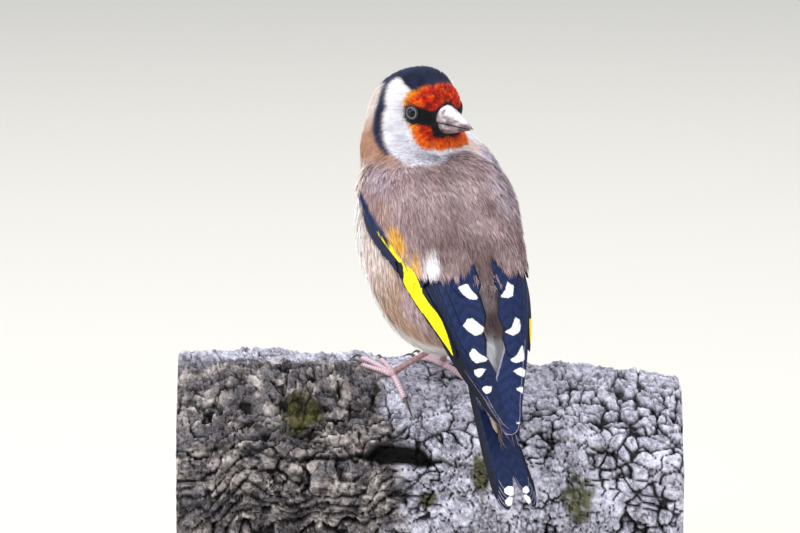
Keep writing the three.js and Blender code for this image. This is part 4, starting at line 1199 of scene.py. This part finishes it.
def vane_grid(long_steps, cross_steps):
    """Places on a closed flat tube: how far along, how far across (-1 to 1), top (1) or under (0)."""
    t = np.linspace(0, 1, long_steps) ** 0.85
    around = np.concatenate([np.linspace(-1, 1, cross_steps), np.linspace(1, -1, cross_steps)[1:-1]])
    top = np.concatenate([np.ones(cross_steps), np.zeros(cross_steps - 2)])
    return np.meshgrid(t, around, indexing="ij"), np.broadcast_to(top, (long_steps, len(around)))


VANE_STEP, VANE_ACROSS = 0.55, 13  # mm along a vane to a row of points, and points across
SHAFT_WIDE = 0.22  # mm
BARB_SLANT = 0.9  # how far the barbs lean towards the tip


def add_vane(heap, points, marks, along, across, *cap):
    """A vane with its marks, and where its barbs lie as mm along and across."""
    lie = np.stack([along - np.abs(across) * BARB_SLANT, across], -1).reshape(-1, 2)
    heap.add(points.reshape(-1, 3), tube_faces(*along.shape), *cap, Marks=marks, uv_Lie=lie)


def shaft(across):
    """How far the shaft stands out of the vane, 1 in its middle."""
    return np.exp(-(across / SHAFT_WIDE) ** 2)


def wing_feathers(side, material, name):
    """A folded wing's feathers, with white tips and the yellow bar."""
    heap = Heap()
    for root, tip, width, lift0, lift1, fringe, dark, bend in feather_list(side):
        length = abs(root[0] - tip[0])
        (t, v), top = vane_grid(int(length / VANE_STEP) + 8, VANE_ACROSS)
        a = root[0] + (tip[0] - root[0]) * t
        mid = root[1] + (tip[1] - root[1]) * t ** bend
        half = width * np.interp(t, VANE_AT, VANE_WIDE) / 2
        along, across = t * length, v * half
        w = np.clip(mid + across / wing_width(a), -0.05, 1.03 if bend <= 1 and tip[1] < 0.9 else 1.4)
        lift = lift0 + (lift1 - lift0) * t + 0.12 * (1 - v * v) + 0.10 * shaft(across)
        lift = lift - (1 - top) * VANE_THICK * np.where(t > 0.985, 0.4, 1)
        points = wing_point(side, a, w, lift)
        rim = half - np.abs(across)
        white = np.minimum(spot_depth(WING_SPOTS[side], points), (w - SPOT_LIMIT) * wing_width(a))
        yellow = np.minimum(w - np.interp(a, YELLOW_A, YELLOW_LOW),
                            np.interp(a, YELLOW_TOP_A, YELLOW_TOP) - w) * wing_width(a)
        yellow = np.minimum(yellow, np.minimum(a - YELLOW_A[0], YELLOW_A[-1] - a))
        if side > 0:
            yellow = np.minimum(yellow, RIGHT_YELLOW_TOP - seen(BODY, *BODY.local(points))[1])
        pale = fringe - rim if fringe else np.full_like(t, -1.0)
        marks = vane_marks(white, yellow, pale, dark + 0.8 * smoothstep(0.4, 0.0, rim))
        # The root's end is closed by a fan of triangles
        around = np.arange(t.shape[1])[::-1]
        cap = np.stack([around[:-2], around[1:-1], np.zeros(len(around) - 2, int)], -1)
        add_vane(heap, points, marks, along, across, cap)
    return heap.piece(name, material)


def vane_marks(white, yellow, pale, dark):
    """Depths in mm inside each colour, squeezed to 0 to 1 with the edge at a half, and darkness."""
    squeezed = [np.clip(0.5 + depth / 4, 0, 1) for depth in (white, yellow, pale)]
    return np.stack([*squeezed, np.clip(dark, 0, 1)], -1).reshape(-1, 4)


TAIL_ROOT, TAIL_LENGTH, TAIL_FORK, RECTRIX_WIDTH = -27.0, 41.0, 5.0, 5.4
RECTRICES = 6  # on each side


def tail_feathers(material):
    """The folded tail: two stacks of vanes, slightly forked."""
    heap = Heap()
    for side in (-1, 1):
        for i in range(RECTRICES):
            outer = i / (RECTRICES - 1)
            length = TAIL_LENGTH - TAIL_FORK + TAIL_FORK * outer ** 0.7 - (1 if outer == 1 else 0)
            (t, v), top = vane_grid(int(length / VANE_STEP) + 8, VANE_ACROSS)
            a = TAIL_ROOT - length * t
            half = RECTRIX_WIDTH * np.interp(t, VANE_AT, VANE_WIDE) * (0.75 + 0.25 * t) / 2
            along, across = t * length, v * half
            mid = side * (0.9 + 1.45 * t + i * (0.12 + 0.2 * t)) + 1.1 * t
            s = mid + across
            d = 1.6 - i * 0.24 - 1.6 * t - 0.1 * np.abs(s) * (0.4 + t)
            d = d + 0.10 * (1 - v * v) + 0.1 * shaft(across) - (1 - top) * VANE_THICK
            points = BODY.place(a, s, d)
            rim = half - np.abs(across)
            white = spot_depth(TAIL_SPOTS[side], points)
            pale = np.minimum(0.14 - rim, 3.5 - (length - along))
            dark = 0.25 + 0.09 * i + 0.5 * smoothstep(0.35, 0.0, rim)
            marks = vane_marks(white, np.full_like(t, -1.0), pale, dark)
            add_vane(heap, points, marks, along, across)
    return heap.piece("tail_feathers", material)


# Eyes, bill, legs

EYE_PLACE, EYE_TURN, EYE_RADIUS = (3.9, 5.1, 1.9), 72, 1.85
EYE_SUNK = 0.72  # radii from the face's surface in to the eye's centre
PUPIL_EDGE, PUPIL_BLEND = 22, 6  # degrees off the eye's axis, and the rim's width
LID_RIDGES = 11  # half the folds round the eye
# Each ring round the eye: its radius, thickness and depth in the face, in mm, and its darkness
LIDS = [("lid_rim", 1.34, 0.15, 0.05, 0.2), ("eyelids", 1.7, 0.24, 0.2, 1.0)]


def eye_axis(side):
    """The eye's axis, and its centre sunk behind the surface of the face, as in the CAD."""
    axis = (HEAD.along * math.cos(math.radians(EYE_TURN))
            + HEAD.right * side * math.sin(math.radians(EYE_TURN)))
    start = HEAD.place(EYE_PLACE[0], side * EYE_PLACE[1], EYE_PLACE[2])
    reach = np.arange(0, 12, 0.05)
    out = reach[np.argmax(skin_value(start + reach[:, None] * axis) > 0)]
    surface = start + axis * out
    return axis, surface, surface - axis * EYE_RADIUS * EYE_SUNK


def make_eye(side, word, material, lid_material):
    """An eyeball with iris and pupil, and two rings of bare skin round it."""
    axis, surface, centre = eye_axis(side)
    turn = Vector((0, 0, 1)).rotation_difference(Vector(axis)).to_matrix().to_4x4()

    def iris(off):
        t = min(max((off - PUPIL_EDGE) / PUPIL_BLEND, 0), 1)
        return lerp(linear("#020202"), linear("#120a07"), t)

    eye = ball(f"eye_ball_{word}", centre, EYE_RADIUS, 48, iris, material, turn)
    settle(eye, "eye", f"eye_{word}")

    x_axis = unit(np.cross(axis, HEAD.up))
    y_axis = np.cross(x_axis, axis)

    for name, radius, thick, sink, shade in LIDS:
        def ring(u, v):
            around, over = 2 * np.pi * u, 2 * np.pi * v
            tube = thick * (1 + 0.12 * np.abs(np.sin(around * LID_RIDGES)))
            r = radius + tube * np.cos(over)
            points = (surface - axis * sink + (x_axis * (r * np.cos(around))[:, None])
                      + y_axis * (r * 0.93 * np.sin(around))[:, None]
                      + axis * (tube * np.sin(over))[:, None])
            return points, np.full((len(u), 3), shade)

        settle(bent_grid(f"{name}_{word}", 132, 12, ring, lid_material), "eye")


BILL_ROOT, BILL_BASE, BILL_LENGTH, BILL_DEPTH, BILL_WIDTH = 6.4, 8.8, 11.2, 7.3, 6.6
BILL_RISE, MOUTH_DROP, MOUTH_GAP, UPPER_SHARE = 0.6, 0.5, 0.3, 0.54


BILL_HIGHER, BILL_WIDER = 1.12, 1.1  # the sheath over the CAD's cones
LOWER_SHORT, LOWER_NARROW = 0.9, 0.94  # mm by which the lower half is shorter, and its width's share
NOSTRIL = (BILL_BASE + 1.3, BILL_RISE + 2.6)  # ahead and up, mm
NOSTRIL_SIZE = 0.42  # mm


def make_bill(upper, material):
    """One half of the bill, flat along the mouth, with a nostril on each side of the upper one."""
    sign = 1 if upper else -1
    name = "upper" if upper else "lower"
    tip = BILL_BASE + BILL_LENGTH - (0 if upper else LOWER_SHORT)
    share = UPPER_SHARE if upper else 1 - UPPER_SHARE

    def place(t, v):
        reach = BILL_ROOT + (tip - BILL_ROOT) * t
        taper = np.maximum((1 - t) ** (0.84 if upper else 1.0) * (1 + 0.08 * np.sin(np.pi * t)), 0.02)
        taper = np.where(t > 0.999, 0.004, taper)
        rise = BILL_DEPTH * share * BILL_HIGHER * taper
        half = BILL_WIDTH / 2 * taper * BILL_WIDER * (1 if upper else LOWER_NARROW)
        mouth = BILL_RISE - MOUTH_DROP * (1 - t) + sign * MOUTH_GAP / 2 - 0.3 * t
        angle = 2 * np.pi * v
        arch = np.where(v < 0.5, rise * np.abs(np.sin(angle)) ** 0.85, 0.0)
        ridge = 0.12 * np.exp(-((angle - np.pi / 2) / 0.18) ** 2) * taper if upper else 0
        side_place = half * np.cos(angle)
        far = np.hypot(reach - NOSTRIL[0], mouth + arch - NOSTRIL[1])
        pit = 0.5 * np.exp(-(far / NOSTRIL_SIZE) ** 2) * (side_place != 0) * upper
        points = HEAD.place(reach, side_place * (1 - pit * 0.35), mouth + sign * (arch + ridge + 0.02))
        # Pale on the flat beside the ridge, partly the horn's own pale and partly a painted highlight
        # from above; brown and mottled low down, purple-grey at the tip; darker in the nostril, a painted
        # shade
        high = np.clip(arch / np.maximum(rise, 0.01), 0, 1)
        blotch = soft_noise(points * np.array([1, 1, 1.6]), 1.1, 71) + 0.5 * soft_noise(points, 0.5, 72)
        # Painted highlight: the upper half is paler towards its top
        tone = (0.66 - 0.6 * smoothstep(0.3, 0.85, high) if upper else 0.6) + 0.34 * blotch
        # Painted shade: the tone darkens in the nostril's pit
        return points, even_tone(tone + 0.55 * smoothstep(0.66, 1.0, t) + 0.9 * pit)

    settle(bent_grid(f"bill_half_{name}", 90, 72, place, material), "bill", f"bill_{name}")


# The log as in the CAD source, mm
LOG = {"radius": 28.5, "length": 124.0, "y": 5.0, "drop": 9.0, "z": 8 + 9 + 28.5}


def wrapped(angle):
    """The same angle between minus and plus half a turn."""
    return np.arctan2(np.sin(angle), np.cos(angle))


def bark_height(x, angle):
    """The CAD log's own ridges, cracks and knot, mm over its radius."""
    ridge = np.sin(angle * 7 + np.sin(x * 0.055) * 2.2) * 0.9
    crack = np.sin(x * 0.21 + np.sin(angle * 3) * 2.4) * np.sin(angle * 5 + x * 0.09)
    knot = 3.4 * np.exp(-((x + 30) / 9) ** 2 - ((wrapped(angle) - 0.5) / 0.35) ** 2)
    return ridge + crack + knot


def log_centre(x):
    z = LOG["z"] - LOG["drop"] * (x / LOG["length"] + 0.5) ** 2 / 1.4 + 1.2
    return np.stack([x, np.full_like(x, LOG["y"]), z], -1)


def foot_calm(x, angle):
    """0 under the feet, where the log is smoother, to 1 away from them."""
    return smoothstep(0.55, 1.1, np.hypot((x + 2) / 14, (wrapped(angle) - 0.25) / 0.55))


def log_point(x, angle, offset):
    """A place on the CAD log's surface or offset mm over it."""
    r = LOG["radius"] + offset + bark_height(x, angle) * (0.25 + 0.75 * foot_calm(x, angle))
    out = np.stack([np.zeros_like(x), -np.sin(angle), np.cos(angle)], -1)
    return log_centre(x) + out * r[..., None]


GAP = 0.3  # mm between the toes and the CAD's log
# Toes: turn from the heading in degrees, length, radius and the claw's length in mm
TOES = [("inner", -24, 8.6, 0.62, 3.4), ("middle", 0, 11.2, 0.66, 4.0), ("outer", 20, 8.8, 0.6, 3.4),
        ("hind", 158, 7.4, 0.72, 5.2)]
# Feet: side, place along the log, angle round it, the heel from the foot, and heading in degrees
FEET = [("left", -1, -9.0, 0.47, (11.2, -6.2, 7.9), 44), ("right", 1, 3.2, 0.27, (1.8, -7.4, 9.5), 30)]


PAD_RADIUS, PAD_TONE = 1.2, 0.45  # the foot's pad, mm, and its tone


def toe_point(x, angle, turn, distance, lift):
    """A place lift mm over the log, some distance from a foot along its surface."""
    distance, lift = np.broadcast_arrays(np.asarray(distance, float), np.asarray(lift, float))
    dx = -math.sin(turn) * distance
    around = -math.cos(turn) * distance / LOG["radius"]
    return log_point(x + dx, angle + around, GAP + lift)


def tube(name, path, radii, material, rings, sides=20, scutes=0.0, pale=1.0):
    """A round limb along a smooth path; scutes is the depth of the scales on its upper side, where
    the tone is also lighter facing up, a painted light; without them it darkens towards its end."""
    path, radii = np.asarray(path, float), np.asarray(radii, float)
    at = np.linspace(0, 1, len(path))
    rows = np.concatenate([at[:, None], path, radii[:, None]], -1)

    def place(u, v):
        value = keyed(rows, u)
        ahead, behind = keyed(rows, np.minimum(u + 0.01, 1)), keyed(rows, np.maximum(u - 0.01, 0))
        way = unit(ahead[:, :3] - behind[:, :3])
        side = unit(np.cross(way, np.array([0.31, 0.17, 0.93])))
        top = np.cross(side, way)
        angle = 2 * np.pi * v
        end = np.sqrt(np.clip(1 - (np.maximum(u - 0.97, 0) / 0.03) ** 2, 0, 1))
        start = np.sqrt(np.clip(1 - (np.maximum(0.03 - u, 0) / 0.03) ** 2, 0, 1))
        upper = 0.5 + 0.5 * np.cos(angle)
        scale = np.abs(np.sin(np.pi * u * rings)) ** 0.5
        r = value[:, 3] * np.maximum(np.minimum(start, end), 0.01) * (1 + scutes * upper * (scale - 0.6))
        points = value[:, :3] + (side * np.sin(angle)[:, None] + top * np.cos(angle)[:, None]) * r[:, None]
        if scutes:
            # Painted light: the scaled tone is lighter on the side facing up
            return points, even_tone(pale * (0.15 + 0.75 * scale * (0.5 + 0.5 * upper)))
        return points, even_tone(0.35 + 0.6 * u)

    return bent_grid(name, int(rings * 8) if scutes else 40, sides, place, material)


def make_feet(skin_material, claw_material):
    """Shanks, foot pads and toes with scutes on their upper sides, and claws."""
    for word, side, x, angle, shank, heading in FEET:
        joint = toe_point(x, angle, 0, 0, 1.5)
        toes = []
        for toe, turn, length, radius, claw in TOES:
            course = math.radians(heading + side * -turn)
            t = np.linspace(0, 1, 9)[1:]
            lift = radius * (1.02 - 0.2 * t) + 0.35 * np.sin(np.pi * t) * (1 - t)
            points = np.vstack([joint[None], toe_point(x, angle, course, length * t, lift)])
            knuckle = 0.1 * np.sin(np.pi * t * 3) ** 2
            radii = np.concatenate([[radius * 1.15], radius * (1.0 - 0.18 * t + knuckle)])
            toes.append(tube(f"toe_{word}_{toe}", points, radii, skin_material, int(length * 1.7),
                             scutes=0.08))
            t = np.linspace(0, 1, 8)
            rise = radius * 0.8 + 0.9 * np.sin(np.pi * np.minimum(t * 1.05, 1))
            points = toe_point(x, angle, course, length - 0.5 + (claw + 0.8) * t, rise * (1 - 0.55 * t))
            radii = radius * 0.78 * (1 - 0.9 * t)
            settle(tube(f"nail_{word}_{toe}", points, radii, claw_material, 10, 14), "claw",
                   f"claw_{word}_{toe}")
        heel = joint + np.array(shank)
        t = np.linspace(0, 1, 7)[:, None]
        points = joint + (heel - joint) * t
        radii = np.interp(t[:, 0], [0, 0.12, 0.5, 0.85, 1], [1.0, 0.74, 0.62, 0.72, 1.0])
        shin = tube(f"tarsus_{word}", points, radii, skin_material, 9, scutes=0.05, pale=0.25)
        settle(shin, "leg_scale", f"leg_{word}")
        pad = ball(f"foot_joint_{word}", joint, PAD_RADIUS, 24, lambda off: [PAD_TONE] * 3, skin_material)
        settle(pad, "leg_scale", f"foot_{word}")
        for piece in toes:
            settle(piece, "leg_scale")


# The deep crack on the near side: radians round from the log's top, and its half width along it
FISSURE_AT = 1.26
FISSURE_X = [-60, -16, -12, -2, 2, 12, 16]
FISSURE_HALF = [0.4, 0.9, 3.0, 2.6, 0.7, 0.3, -0.6]
# Moss: along the log and round from its top, with half sizes, in mm and radians
MOSSES = [(12.7, 1.34, 2.6, 0.20), (-0.5, 1.62, 2.2, 0.08), (-31, 0.9, 5.0, 0.16), (36, 1.5, 4.0, 0.2)]
SAWN = 0.055  # share of the mesh's rows that each sawn end takes
BROKEN_TO = -9.0  # left of this the bark is gone and layered wood shows


def make_log(material):
    """The bark over the log, with its two sawn ends, as one closed piece."""
    def relief(x, angle, radius):
        """Height of the bark over the CAD's, in mm, and its marks: painted shade in cracks and under
        ledges, bare wood, moss.
        """
        ring = np.stack([x, radius * np.sin(angle), radius * np.cos(angle)], -1)

        def swirl(size, seed):
            return np.stack([soft_noise(ring, size, seed + n) for n in range(3)], -1)

        warp = swirl(8.0, 21) * 2.2 + swirl(2.6, 25) * 0.9
        # Bark: uneven plates between cracks that open and close, with a fine crackle on them
        first, second, ident = cell_edges((ring + warp) / np.array([4.6, 3.3, 3.3]), 31)
        open_crack = 0.09 + 0.16 * np.maximum(soft_noise(ring, 7.0, 33), -0.4)
        crack = smoothstep(open_crack, open_crack * 0.3, second - first)
        near, far, small = cell_edges((ring + warp * 0.5) / np.array([1.9, 1.3, 1.3]), 51)
        crackle = smoothstep(0.16, 0.03, far - near) * smoothstep(-0.35, 0.25, soft_noise(ring, 4.0, 53))
        grain = 0.34 * soft_noise(ring, 2.2, 9) + 0.22 * soft_noise(ring, 1.1, 10)
        grain = grain + 0.14 * soft_noise(ring, 0.6, 11)
        bark = (ident - 0.5) * 0.8 + (small - 0.5) * 0.5 - 1.3 * crack - 0.5 * crackle + 1.5 * grain
        # Broken wood: ledges that run along the log, each undercut and painted dark beneath as its shade
        layer = (angle * radius + 0.35 * x) / 4.6 + 1.5 * soft_noise(ring, 9.0, 81)
        layer = layer + 0.4 * soft_noise(ring, 3.0, 82)
        step = layer - np.floor(layer)
        splinter = soft_noise(ring * np.array([0.28, 1.0, 1.0]), 1.0, 84)
        chips = 1.7 * (ident - 0.5) + 1.0 * (small - 0.5) - 0.8 * crack - 0.5 * crackle
        ledges = 1.9 * (0.5 - step) + 0.9 * splinter + grain + chips
        under = smoothstep(0.7, 0.95, step) + 0.5 * smoothstep(0.2, 0.6, splinter)
        under = under + 0.6 * crack + 0.4 * (small < 0.3)
        broken = smoothstep(-2.0, 2.0, BROKEN_TO - x + 6.0 * soft_noise(ring, 10.0, 86)
                            + 3.0 * soft_noise(ring, 3.0, 87)) * smoothstep(0.1, 0.45, wrapped(angle))
        height = bark + (ledges - bark) * broken
        # Painted shade: near black in the cracks and the crackle, and under the broken wood's ledges
        dark = (crack * 0.95 + crackle * 0.6) * (1 - broken) + under * 0.9 * broken
        # The deep crack, painted dark as its shade, and the moss
        off = (wrapped(angle) - FISSURE_AT) * radius
        off = off - 1.2 * np.sin(x * 0.16) - 0.8 * soft_noise(ring, 3.0, 91)
        wide = np.interp(x, FISSURE_X, FISSURE_HALF)
        cleft = smoothstep(0.5, -0.8, np.abs(off) - wide)
        height = height - 3.2 * cleft * smoothstep(-0.6, 2.0, wide)
        moss = np.max([smoothstep(1.3, 0.5, np.hypot((x - at) / long, (wrapped(angle) - turn) / high)
                       + 0.5 * soft_noise(ring, 1.6, 61)) for at, turn, long, high in MOSSES], axis=0)
        height = height + 0.5 * moss * np.abs(soft_noise(ring, 0.7, 63))
        calm = 0.3 + 0.7 * foot_calm(x, angle)
        dark = np.clip(np.maximum(dark, cleft), 0, 1)
        return height * calm - 0.3, np.stack([dark, broken, moss * 0.9], -1)

    def side(u, v):
        t = np.clip((u - SAWN) / (1 - 2 * SAWN), 0, 1)
        x = (t - 0.5) * LOG["length"]
        angle = 2 * np.pi * v
        height, marks = relief(x, angle, LOG["radius"])
        edge = smoothstep(0.0, 0.012, np.minimum(t, 1 - t))
        points = log_point(x, angle, height - 0.8 * (1 - edge))
        # The sawn ends: rings of growth and a few splits painted dark as their shade, a little inside the
        # log's length
        share = np.clip(np.minimum(u, 1 - u) / SAWN, 0, 1)
        ends = share < 1
        middle = log_centre(x)
        points = middle + (points - middle) * share[:, None]
        r = share * LOG["radius"]
        face = np.stack([x, r * np.sin(angle), r * np.cos(angle)], -1)
        uneven = 0.5 + 0.5 * soft_noise(face, 3.0, 95)
        points[:, 0] -= np.sign(x) * ends * (0.1 + 0.3 * uneven)
        rings = 0.5 + 0.5 * np.sin(2.0 * r + 2.0 * soft_noise(face, 12.0, 96))
        split = smoothstep(0.06, 0.0, np.abs(np.sin(2.5 * angle + soft_noise(face, 7.0, 97)))) * (r > 3)
        sawn = np.stack([0.62 * rings ** 3 + 0.7 * split, np.full_like(x, 0.75), np.zeros_like(x)], -1)
        return points, np.where(ends[:, None], sawn, marks)

    settle(bent_grid("log_bark", 440, 380, side, material), "bark", "perch_log")


# Settings, operators and panel

class FinchSettings(bpy.types.PropertyGroup):
    seed: IntProperty(name="Seed", description="Seed of every random draw", default=11, min=0)
    tufts_body: FloatProperty(name="Body tufts", description="Tufts to a square millimetre of body",
                              default=3.2, min=0.2, max=6)
    tufts_head: FloatProperty(name="Head tufts", description="Tufts to a square millimetre of head",
                              default=9.0, min=0.5, max=16)


class StageSettings(bpy.types.PropertyGroup):
    floor: FloatVectorProperty(name="Floor", description="Colour of the studio floor", subtype="COLOR",
                               default=linear("#dddad2"), min=0, max=1)
    distance: FloatProperty(name="Camera distance", description="From the bird to the camera",
                            default=1.5, unit="LENGTH", min=0.3)
    elevation: FloatProperty(name="Elevation", description="Height of the view over the horizon",
                             default=math.radians(10), subtype="ANGLE")
    field: FloatProperty(name="Field", description="Width of the view at the bird", default=0.1951,
                         unit="LENGTH", min=0.05)


BARE_EYE = 2.3  # mm round the eye without tufts
BARE_BILL = 6.5  # mm ahead of the head's centre, from where the bill's root has none


class FINCH_OT_skin(bpy.types.Operator):
    """Make the skin and the tufts of small feathers that cover it"""
    bl_idname = "finch.skin"
    bl_label = "Skin and Coat"

    def execute(self, context):
        settings = context.scene.finch
        rng = np.random.default_rng(settings.seed)
        material = contour_plumage()
        skin, points = flesh_skin(material)
        settle(skin, "brown_feather", "torso", "neck", "head")

        def density(p):
            _, past, inside_mantle, _ = under_wing(p)
            f, s, u = HEAD.local(p)
            near = smoothstep(20, 13, from_head(p))
            amount = settings.tufts_body + (settings.tufts_head - settings.tufts_body) * near
            hidden = (past < -0.6) & (inside_mantle < MANTLE_TUCK * 0.9) & (near < 0.2)
            amount = np.where(hidden, 0, amount)
            for side in (-1, 1):
                far = np.linalg.norm(p - eye_axis(side)[1], axis=-1)
                amount = np.where(far < BARE_EYE, 0, amount)
            bill = np.hypot(s / (BILL_WIDTH / 2 + 0.1), (u - 0.8) / (BILL_DEPTH / 2 - 0.1))
            return np.where((f > BARE_BILL) & (bill < 1), 0, amount)

        roots = even_roots(skin, points, rng, density)
        for piece in coat_tufts(roots, rng, material):
            settle(piece, "brown_feather")
        return {"FINISHED"}


class FINCH_OT_flight(bpy.types.Operator):
    """Make the flight feathers of both wings and the tail"""
    bl_idname = "finch.flight"
    bl_label = "Flight Feathers"

    def execute(self, context):
        material = vane_plumage()
        settle(wing_feathers(-1, material, "wing_feathers_left"), "dark_feather", "wing_left")
        settle(wing_feathers(1, material, "wing_feathers_right"), "dark_feather", "wing_right")
        settle(tail_feathers(material), "dark_feather", "tail")
        return {"FINISHED"}


class FINCH_OT_face(bpy.types.Operator):
    """Make the eyes, their lids and the bill"""
    bl_idname = "finch.face"
    bl_label = "Eyes and Bill"

    def execute(self, context):
        cornea = eye_gloss()
        lids = horn("lid skin", "#767c92", "#08090d", 0.5)
        for word, side in (("left", -1), ("right", 1)):
            make_eye(side, word, cornea, lids)
        sheath = horn("bill sheath", "#e2d5db", "#443238", 0.4)
        make_bill(True, sheath)
        make_bill(False, sheath)
        return {"FINISHED"}


class FINCH_OT_feet(bpy.types.Operator):
    """Make the legs, toes and claws"""
    bl_idname = "finch.feet"
    bl_label = "Feet"

    def execute(self, context):
        make_feet(scaled_skin(), horn("claw sheath", "#7c6157", "#1d1614", 0.35))
        return {"FINISHED"}


class FINCH_OT_log(bpy.types.Operator):
    """Make the bark of the log and finish the stand"""
    bl_idname = "finch.log"
    bl_label = "Log and Stand"

    def execute(self, context):
        make_log(weathered_bark())
        wood, brass = oiled_wood(), brushed_brass()
        for name, material in (("stand_base", wood), ("stand_rod_left", brass), ("stand_rod_right", brass)):
            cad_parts[name].material_slots[0].material = material
        return {"FINISHED"}


VIEW_TARGET = Vector((-0.0073, -0.0085, 0.0991))  # what the camera and the lights look at, m
SENSOR = 36  # mm
# Area lights: name, place and size in m, power in W
LIGHTS = [("key", (-0.7, -0.8, 1.0), 0.9, 14), ("fill", (0.9, -0.8, 0.6), 1.0, 6),
          ("side", (-1.1, -0.2, 0.15), 0.8, 7), ("top", (0.1, 0.5, 1.3), 0.9, 10)]


def aim(thing, place):
    """Puts a light or the camera at a place, looking at the target, and links it."""
    thing.location = place
    thing.rotation_euler = (VIEW_TARGET - Vector(place)).to_track_quat("-Z", "Y").to_euler()
    bpy.context.scene.collection.objects.link(thing)


class FINCH_OT_stage(bpy.types.Operator):
    """Set up the floor, the lights and the camera"""
    bl_idname = "finch.stage"
    bl_label = "Stage"

    def execute(self, context):
        settings = context.scene.finch_stage
        context.scene.view_settings.view_transform = "Standard"
        floor_material, _, shader = new_material("studio paper", Roughness=0.9, Specular_IOR_Level=0.1)
        shader.inputs["Base Color"].default_value = (*settings.floor, 1)
        bm = bmesh.new()
        bmesh.ops.create_grid(bm, x_segments=1, y_segments=1, size=6.0)
        piece_from(bm, "studio_floor", floor_material)
        world = bpy.data.worlds.new("studio air")
        world.use_nodes = True
        world.node_tree.nodes["Background"].inputs["Color"].default_value = (*linear("#dfe3ea"), 1)
        world.node_tree.nodes["Background"].inputs["Strength"].default_value = 0.7
        context.scene.world = world
        for name, place, size, power in LIGHTS:
            light = bpy.data.lights.new(name, "AREA")
            light.size, light.energy = size, power
            aim(bpy.data.objects.new(name, light), place)
        camera = bpy.data.objects.new("camera", bpy.data.cameras.new("camera"))
        camera.data.sensor_width = SENSOR
        camera.data.lens = SENSOR * settings.distance / settings.field
        camera.data.clip_end = 50
        rise = settings.elevation
        aim(camera, VIEW_TARGET + Vector((0, -math.cos(rise), math.sin(rise))) * settings.distance)
        context.scene.camera = camera
        return {"FINISHED"}


class FINCH_PT_panel(bpy.types.Panel):
    bl_label = "Goldfinch"
    bl_idname = "FINCH_PT_panel"
    bl_space_type = "VIEW_3D"
    bl_region_type = "UI"
    bl_category = "Finch"

    def draw(self, context):
        for group in (context.scene.finch, context.scene.finch_stage):
            for name in group.bl_rna.properties.keys():
                if name not in ("rna_type", "name"):
                    self.layout.prop(group, name)
        for operator in OPERATORS:
            self.layout.operator(operator.bl_idname)


OPERATORS = (FINCH_OT_skin, FINCH_OT_flight, FINCH_OT_face, FINCH_OT_feet, FINCH_OT_log, FINCH_OT_stage)
CLASSES = (FinchSettings, StageSettings, *OPERATORS, FINCH_PT_panel)


def register():
    for cls in CLASSES:
        bpy.utils.register_class(cls)
    bpy.types.Scene.finch = PointerProperty(type=FinchSettings)
    bpy.types.Scene.finch_stage = PointerProperty(type=StageSettings)


def unregister():
    del bpy.types.Scene.finch_stage
    del bpy.types.Scene.finch
    for cls in reversed(CLASSES):
        bpy.utils.unregister_class(cls)


def main():
    register()
    bpy.ops.finch.skin()
    bpy.ops.finch.flight()
    bpy.ops.finch.face()
    bpy.ops.finch.feet()
    bpy.ops.finch.log()
    bpy.ops.finch.stage()


if __name__ == "__main__":
    main()
